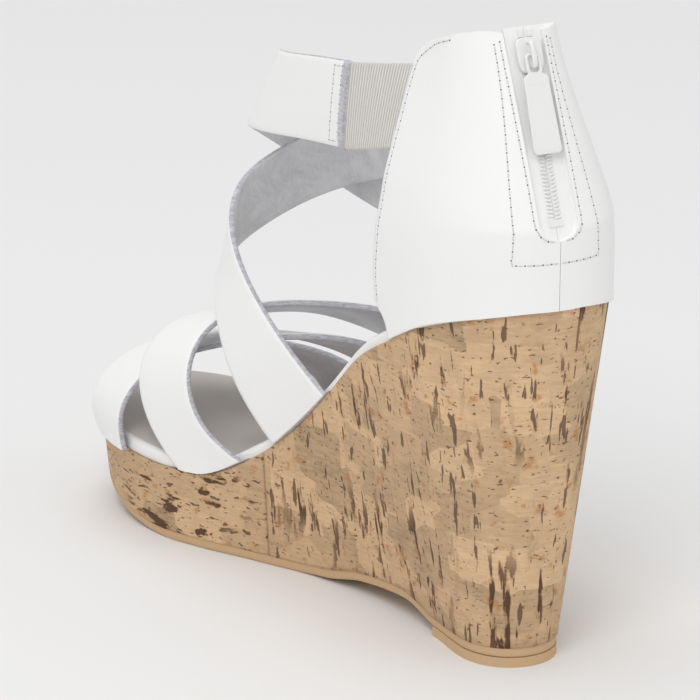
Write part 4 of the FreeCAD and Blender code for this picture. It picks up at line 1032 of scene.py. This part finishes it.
class SANDAL_OT_stitching(bpy.types.Operator):
    """Thread along the counter's edges, round the zip and on the ankle strap's fold"""
    bl_idname = "sandal.stitching"
    bl_label = "Stitching"

    def execute(self, context):
        pitch = size("stitch_pitch")
        for side, name in ((1.0, "inner"), (-1.0, "outer")):
            z = np.linspace(SEAT_Z - 8.0, COUNTER_TOP - 4.5, 260)
            station = front_edge(z) - 1.7 - 2.2 * ease((z - (COUNTER_TOP - 16.0)) / 10.0)
            keep = station > counter_at_offset(side, size("zip_half") + 3.2, z, OUTER_FACE)
            line, square = counter_line(side, station[keep], z[keep], THREAD_LIFT)
            stitch_run(f"edge_stitch_{name}", line, square, pitch)
            up = np.linspace(0.0, ZIP_RUN - 3.5, 200)
            z = ZIP_BASE[2] + up * math.cos(LEAN)
            near = slot_half(z) + 1.2
            line, square = back_line(side, near, z, THREAD_LIFT)
            stitch_run(f"zip_stitch_{name}", line, square, pitch)
            z_low, z_high = ZIP_BASE[2] - 6.5, COUNTER_TOP - 4.0
            sweep = np.linspace(0.0, 1.0, 220)
            wide = size("zip_half") + 7.5 - 4.8 * ease((sweep - 0.12) / 0.88)
            z = z_low + (z_high - z_low) * np.clip((sweep - 0.12) / 0.88, 0.0, 1.0)
            wide = np.where(sweep < 0.12, (size("zip_half") + 7.5) * sweep / 0.12, wide)
            line, square = back_line(side, np.maximum(wide, 0.15), z, THREAD_LIFT)
            stitch_run(f"outer_stitch_{name}", line, square, pitch)
        self.fold_box(pitch)
        return {"FINISHED"}

    def fold_box(self, pitch):
        """A stitched box beside the ankle strap's folded end."""
        front, rear = strap_routes()["ankle_strap"]
        low, high, normal, crown = band_frame(front, rear, 170)
        lift = size("strap_outer") + THREAD_LIFT

        def at(row, share):
            """Points and normals of the strap's outer face at rows along it and shares across it."""
            base = low[row] * (1 - share)[:, None] + high[row] * share[:, None]
            return base + normal[row] * (crown[row] * 4 * share * (1 - share) + lift)[:, None], normal[row]

        runs = {
            "fold_stitch_back": (np.full(40, 5), np.linspace(0.07, 0.93, 40)),
            "fold_stitch_edge": (np.full(40, 1), np.linspace(0.07, 0.93, 40)),
            "fold_stitch_low": (np.arange(1, 6), np.full(5, 0.07)),
            "fold_stitch_high": (np.arange(1, 6), np.full(5, 0.93)),
        }
        for name, (row, share) in runs.items():
            line, square = at(row, share)
            stitch_run(name, line, square, pitch)


# ---------------------------------------------------------------------------------------------
# Zip
# ---------------------------------------------------------------------------------------------
def on_zip(local):
    """Points drawn along the zip (x across, y outward, z up the zip), in metres in the frame."""
    x, out, up = local[..., 0], local[..., 1], local[..., 2]
    y = ZIP_BASE[1] + out * math.cos(LEAN) - up * math.sin(LEAN)
    z = ZIP_BASE[2] + out * math.sin(LEAN) + up * math.cos(LEAN)
    return np.stack([ZIP_BASE[0] + x, y, z], -1) / 1000.0


TAPE_OUT = -1.9
SLIDER_MID = ZIP_RUN - 2.6 - 0.3 - 5.25
PIVOT_OUT = 1.35


def pillow(outline, low, high, round_off, rings=7):
    """A flat closed plate: its outline drawn in towards the middle by rings, with a quarter-round edge on
    both faces. outline is rows of (x, up)."""
    centre = outline.mean(axis=0)
    loops = []
    angles = np.linspace(0.0, 0.5 * np.pi, 5)
    reach = np.linalg.norm(outline - centre, axis=1, keepdims=True)
    for face, level in ((-1.0, low), (1.0, high)):
        steps = [(round_off * (1.0 - math.cos(a)),
                  level - face * round_off * (1.0 - math.sin(a))) for a in angles]
        ring_list = []
        for inset, out in steps:
            ring = centre + (outline - centre) * (1.0 - inset / reach)
            ring_list.append((ring, out))
        for share in np.linspace(0.85, 0.0, rings):
            ring = centre + (outline - centre) * (1.0 - round_off / reach) * share
            ring_list.append((ring, level))
        loops.append(ring_list)
    order = loops[0][::-1] + loops[1]
    rows = []
    for ring, out in order:
        rows.append(np.stack([ring[:, 0], np.full(len(ring), out), ring[:, 1]], -1))
    return np.stack(rows, axis=0)


def rounded_box_outline(half_width, low, high, corner, count=10):
    """Corners of a rectangle as quarter circles, as rows of (x, up)."""
    rows = []
    for cx, cy, first in ((half_width - corner, high - corner, 0.0), (-half_width + corner, high - corner,
                                                                      0.5),
                          (-half_width + corner, low + corner, 1.0), (half_width - corner, low + corner,
                                                                      1.5)):
        angle = np.pi * (first + 0.5 * np.linspace(0.0, 1.0, count))
        rows.append(np.stack([cx + corner * np.cos(angle), cy + corner * np.sin(angle)], -1))
    return np.concatenate(rows)


def tube_along(path, half_side, half_out, side_axis, closed=True, count=12):
    """A rounded section carried along a path; its thickness is half_side along side_axis and half_out
    across."""
    path = np.asarray(path, dtype=float)
    if closed:
        ahead = np.roll(path, -1, axis=0) - np.roll(path, 1, axis=0)
    else:
        ahead = np.gradient(path, axis=0)
    ahead = unit(ahead)
    side = np.broadcast_to(np.asarray(side_axis, dtype=float), path.shape)
    out = unit(np.cross(ahead, side))
    angle = 2.0 * np.pi * np.arange(count) / count
    c, s = np.cos(angle), np.sin(angle)
    c, s = np.sign(c) * np.abs(c) ** 0.65, np.sign(s) * np.abs(s) ** 0.65
    sideways = side[:, None, :] * (half_side * c)[None, :, None]
    return path[:, None, :] + sideways + out[:, None, :] * (half_out * s)[None, :, None]


class SANDAL_OT_zip(bpy.types.Operator):
    """Zip tapes, coil, slider, bail and pull"""
    bl_idname = "sandal.zip"
    bl_label = "Zip"

    def execute(self, context):
        for sign, name in ((1.0, "inner"), (-1.0, "outer")):
            self.tape(sign, name)
            self.coil(sign, name)
        self.slider()
        self.bail()
        self.pull()
        for node in ("zip_bottom_stop", "zip_top_stops"):
            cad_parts[node].data.materials.clear()
            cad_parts[node].data.materials.append(look("zip_metal"))
        return {"FINISHED"}

    def tape(self, sign, name):
        """A thin woven strip with a slightly raised cord beside the coil."""
        half = size("zip_half")
        up = np.linspace(0.4, ZIP_RUN + 0.6, 90)
        reach = np.sqrt(np.maximum(half ** 2 - (half - np.minimum(up, half)) ** 2, 0.0)) + 0.15
        share = np.linspace(0.0, 1.0, 16)
        start = 0.06
        across = start + (np.maximum(reach[:, None], start + 0.05) - start) * share[None, :]
        lift = 0.3 + 0.18 * np.exp(-((across - 2.7) / 0.45) ** 2)
        top = np.stack([sign * across, TAPE_OUT + lift, np.broadcast_to(up[:, None], across.shape)], -1)
        under = np.stack([sign * across, np.full(across.shape, TAPE_OUT - 0.3),
                          np.broadcast_to(up[:, None], across.shape)], -1)[:, ::-1]
        local = np.concatenate([top, under], axis=1)
        uv = np.stack([local[..., 0], local[..., 2]], -1)
        faces = grid_faces(90, 32, False, True)
        caps = [range(32), range(89 * 32, 90 * 32)]
        make_piece(f"zip_tape_{name}", on_zip(local), faces, uv, caps=caps, looks=[look("zip_tape")],
                   slot="zip_tape",
                   stands_for=[f"zip_tape_{name}_side"], sharp=50)

    def coil(self, sign, name):
        """A row of coil loops: each a flattened ring round the tape's edge, a few dozen faces, at a 1.15 mm
        step."""
        low, high = size("zip_half") + 0.4, ZIP_RUN - 2.6
        count = int((high - low) / 1.15)
        centre = low + 0.6 + (np.arange(count) + (0.5 if sign > 0 else 0.0)) * (high - low - 1.2) / count
        turn = np.arange(10) * 2.0 * np.pi / 10
        tube = np.arange(5) * 2.0 * np.pi / 5
        wide, deep, wire = 1.15, 0.72, 0.33
        ring = np.zeros((10, 5, 3))
        radial = 1.0 + wire * np.cos(tube)[None, :] / 0.9
        ring[..., 0] = wide * np.cos(turn)[:, None] * radial * 0.78
        ring[..., 1] = deep * np.sin(turn)[:, None] * radial
        ring[..., 2] = wire * np.sin(tube)[None, :] + 0.22 * np.cos(turn)[:, None] * sign
        local = ring[None] + np.stack([np.full(count, sign * 1.15), np.full(count, TAPE_OUT), centre],
                                      -1)[:, None, None]
        block = grid_faces(10, 5, True, True)
        faces = (block[None] + (np.arange(count) * 50)[:, None, None]).reshape(-1, 4)
        make_piece(f"zip_coil_{name}", on_zip(local), faces, looks=[look("zip_coil")], slot="zip_coil",
                   stands_for=[f"zip_teeth_{name}_side"])

    def slider(self):
        """Front plate, shield shaped with a domed face, a bridge and a back plate."""
        angle = np.linspace(0.0, 2.0 * np.pi, 64, endpoint=False)
        c, s = np.cos(angle), np.sin(angle)
        taper = 1.0 - 0.16 * (1.0 - s) / 2.0
        outline = np.stack([4.35 * taper * np.sign(c) * np.abs(c) ** 0.5,
                            5.2 * np.sign(s) * np.abs(s) ** 0.55], -1)
        outline[:, 1] += SLIDER_MID
        front = pillow(outline, -0.72, 0.44, 0.38)
        rear = pillow(outline, -4.2, -3.1, 0.3)
        bridge_path = np.stack([np.zeros(9), np.linspace(-3.2, -0.6, 9), np.full(9, SLIDER_MID + 3.6)], -1)
        bridge = tube_along(bridge_path, 0.36, 1.3, (1.0, 0.0, 0.0), False)
        parts, faces, base = [], [], 0
        for block in (front, rear, bridge):
            rows, columns = block.shape[:2]
            faces.append(grid_faces(rows, columns, False, True) + base)
            parts.append(block.reshape(-1, 3))
            base += rows * columns
        cap_base = base - bridge.shape[0] * 12
        caps = [range(cap_base, cap_base + 12), range(base - 12, base)]
        make_piece("zip_slider", on_zip(np.concatenate(parts)), np.concatenate(faces), caps=caps,
                   body="slider",
                   slot="zip_metal", looks=[look("zip_metal")], stands_for=["zip_slider_body"], sharp=55)

    def bail(self):
        """An arch on the slider: a flat wire carried along three sides of a rounded rectangle."""
        out = 0.45 + np.array([0.0, 1.0, 1.9, 2.3, 2.35, 2.3, 1.9, 1.0, 0.0])
        up = SLIDER_MID + np.array([-3.65, -3.65, -3.35, -2.2, 0.0, 2.2, 3.35, 3.65, 3.65])
        path = spline(np.stack([np.zeros(9), out, up], -1), 40)
        ring = tube_along(path, 0.78, 0.52, (1.0, 0.0, 0.0), False)
        caps = [range(12), range(39 * 12, 40 * 12)]
        make_piece("zip_slider_bail", on_zip(ring), grid_faces(40, 12, False, True), caps=caps, body="slider",
                   slot="zip_metal", looks=[look("zip_metal")], stands_for=["zip_bail"])

    def pull(self):
        """The pull: a rounded wire eye, a shoulder and a flat tab with a raised edge."""
        eye = rounded_box_outline(1.95, -5.6, 0.0, 1.1)
        path = np.stack([eye[:, 0], np.full(len(eye), PIVOT_OUT), eye[:, 1] + SLIDER_MID], -1)
        wire = tube_along(path, 0.48, 0.5, (0.0, 1.0, 0.0))
        shoulder_z, tab_end = -5.4, -29.0
        outline = rounded_box_outline(4.45, tab_end, shoulder_z, 1.3, 12)
        top = outline[:, 1] > shoulder_z - 2.2
        outline[top, 0] *= 1.0 - 0.38 * ease((outline[top, 1] - (shoulder_z - 2.2)) / 2.2)
        outline[:, 1] += SLIDER_MID
        tab = pillow(outline, PIVOT_OUT - 0.5, PIVOT_OUT + 0.5, 0.36)
        dish = rounded_box_outline(3.5, tab_end + 1.0, shoulder_z - 3.2, 0.9, 10)
        dish_path = np.stack([dish[:, 0], np.full(len(dish), PIVOT_OUT + 0.46), dish[:, 1] + SLIDER_MID], -1)
        bead = tube_along(dish_path, 0.12, 0.16, (0.0, 1.0, 0.0), True, 8)
        parts, faces, base = [], [], 0
        for block, wrap in ((wire, True), (tab, False), (bead, True)):
            rows, columns = block.shape[:2]
            faces.append(grid_faces(rows, columns, wrap, True) + base)
            parts.append(block.reshape(-1, 3))
            base += rows * columns
        make_piece("zip_pull_tab", on_zip(np.concatenate(parts)), np.concatenate(faces), body="pull",
                   slot="zip_metal", looks=[look("zip_metal")], stands_for=["zip_pull"], sharp=55)


# ---------------------------------------------------------------------------------------------
# Pieces kept from the frame
# ---------------------------------------------------------------------------------------------
KEPT_FINISHES = {
    "wedge_core": "wedge_foam", "steel_shank": "steel", "shank_rivets": "steel", "heel_nails": "steel",
    "heel_lift": "tan_sole", "insole_board": "fibre_board", "footbed_foam": "footbed_foam",
}


class SANDAL_OT_inner_parts(bpy.types.Operator):
    """Finishes of the core, shank, board and the other kept pieces"""
    bl_idname = "sandal.inner_parts"
    bl_label = "Inner parts"

    def execute(self, context):
        for node, finish in KEPT_FINISHES.items():
            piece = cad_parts[node]
            piece.data.materials.clear()
            piece.data.materials.append(look(finish))
        return {"FINISHED"}


# ---------------------------------------------------------------------------------------------
# Stage
# ---------------------------------------------------------------------------------------------
class SANDAL_OT_stage(bpy.types.Operator):
    """Pale floor, soft lights and the camera"""
    bl_idname = "sandal.stage"
    bl_label = "Stage"

    def execute(self, context):
        scene = context.scene
        span = 6.0
        corners = [(-span, -span, 0.0), (span, -span, 0.0), (span, span, 0.0), (-span, span, 0.0)]
        mesh = bpy.data.meshes.new("floor")
        mesh.from_pydata(corners, [], [(0, 1, 2, 3)])
        floor = bpy.data.objects.new("floor", mesh)
        scene.collection.objects.link(floor)
        s = Shader("pale_floor", Specular_IOR_Level=0.1)
        haze = s.noise(s.object_point(), 3.0, 2.0, 0.5)
        shade = tint("floor")
        mesh.materials.append(s.finish(Base_Color=s.blend(haze * 0.15, shade, scaled(shade, 0.97)),
                                       Roughness=0.85 + haze * 0.05))
        world = bpy.data.worlds.new("soft_room")
        scene.world = world
        world.use_nodes = True
        world.node_tree.nodes["Background"].inputs[0].default_value = (1.0, 1.0, 1.0, 1.0)
        world.node_tree.nodes["Background"].inputs[1].default_value = 0.62
        scene.view_settings.view_transform = "Standard"
        target = Vector((0.0319, -0.0396, 0.0848))
        self.light("key_light", (1.1, 1.2, 1.9), target, 1.3, 17.0)
        self.light("fill_light", (-1.4, 1.6, 1.1), target, 1.6, 3.0)
        self.light("top_light", (0.1, -0.5, 2.2), target, 1.8, 10.0)
        self.camera(scene, target)
        return {"FINISHED"}

    def light(self, name, place, target, span, power):
        lamp = bpy.data.lights.new(name, "AREA")
        lamp.shape = "DISK"
        lamp.size = span
        lamp.energy = power
        item = bpy.data.objects.new(name, lamp)
        item.location = place
        item.rotation_euler = (target - Vector(place)).to_track_quat("-Z", "Y").to_euler()
        bpy.context.scene.collection.objects.link(item)

    def camera(self, scene, target):
        """The camera looks down 18 degrees at the inner side and the back of the shoe."""
        azimuth, elevation, away = math.radians(155.89), math.radians(17.91), 2.065
        back = Vector((math.sin(azimuth) * math.cos(elevation), -math.cos(azimuth) * math.cos(elevation),
                       math.sin(elevation)))
        lens = bpy.data.cameras.new("camera")
        lens.sensor_width = 36.0
        lens.lens = 7008.0 * 36.0 / 700.0
        lens.clip_end = 50.0
        item = bpy.data.objects.new("camera", lens)
        item.location = target + back * away
        item.rotation_euler = (-back).to_track_quat("-Z", "Y").to_euler()
        scene.collection.objects.link(item)
        scene.camera = item


class SANDAL_PT_panel(bpy.types.Panel):
    """Sizes, colours and the pieces of the sandal"""
    bl_idname = "SANDAL_PT_panel"
    bl_label = "Wedge Sandal"
    bl_space_type = "VIEW_3D"
    bl_region_type = "UI"
    bl_category = "Sandal"

    def draw(self, context):
        layout = self.layout
        for group in (context.scene.sandal_sizes, context.scene.sandal_colours):
            box = layout.box()
            for name in group.__annotations__:
                box.prop(group, name)
        for operator in PIECES:
            layout.operator(operator.bl_idname)


PIECES = (SANDAL_OT_inner_parts, SANDAL_OT_wedge, SANDAL_OT_footbed, SANDAL_OT_straps, SANDAL_OT_elastic,
          SANDAL_OT_counter, SANDAL_OT_zip, SANDAL_OT_stitching, SANDAL_OT_stage)
CLASSES = (SandalSizes, SandalColours) + PIECES + (SANDAL_PT_panel,)


def register():
    for item in CLASSES:
        bpy.utils.register_class(item)
    bpy.types.Scene.sandal_sizes = PointerProperty(type=SandalSizes)
    bpy.types.Scene.sandal_colours = PointerProperty(type=SandalColours)


def unregister():
    del bpy.types.Scene.sandal_sizes
    del bpy.types.Scene.sandal_colours
    for item in reversed(CLASSES):
        bpy.utils.unregister_class(item)


def main():
    register()
    for operator in PIECES:
        group, name = operator.bl_idname.split(".")
        getattr(getattr(bpy.ops, group), name)()


if __name__ == "__main__":
    main()
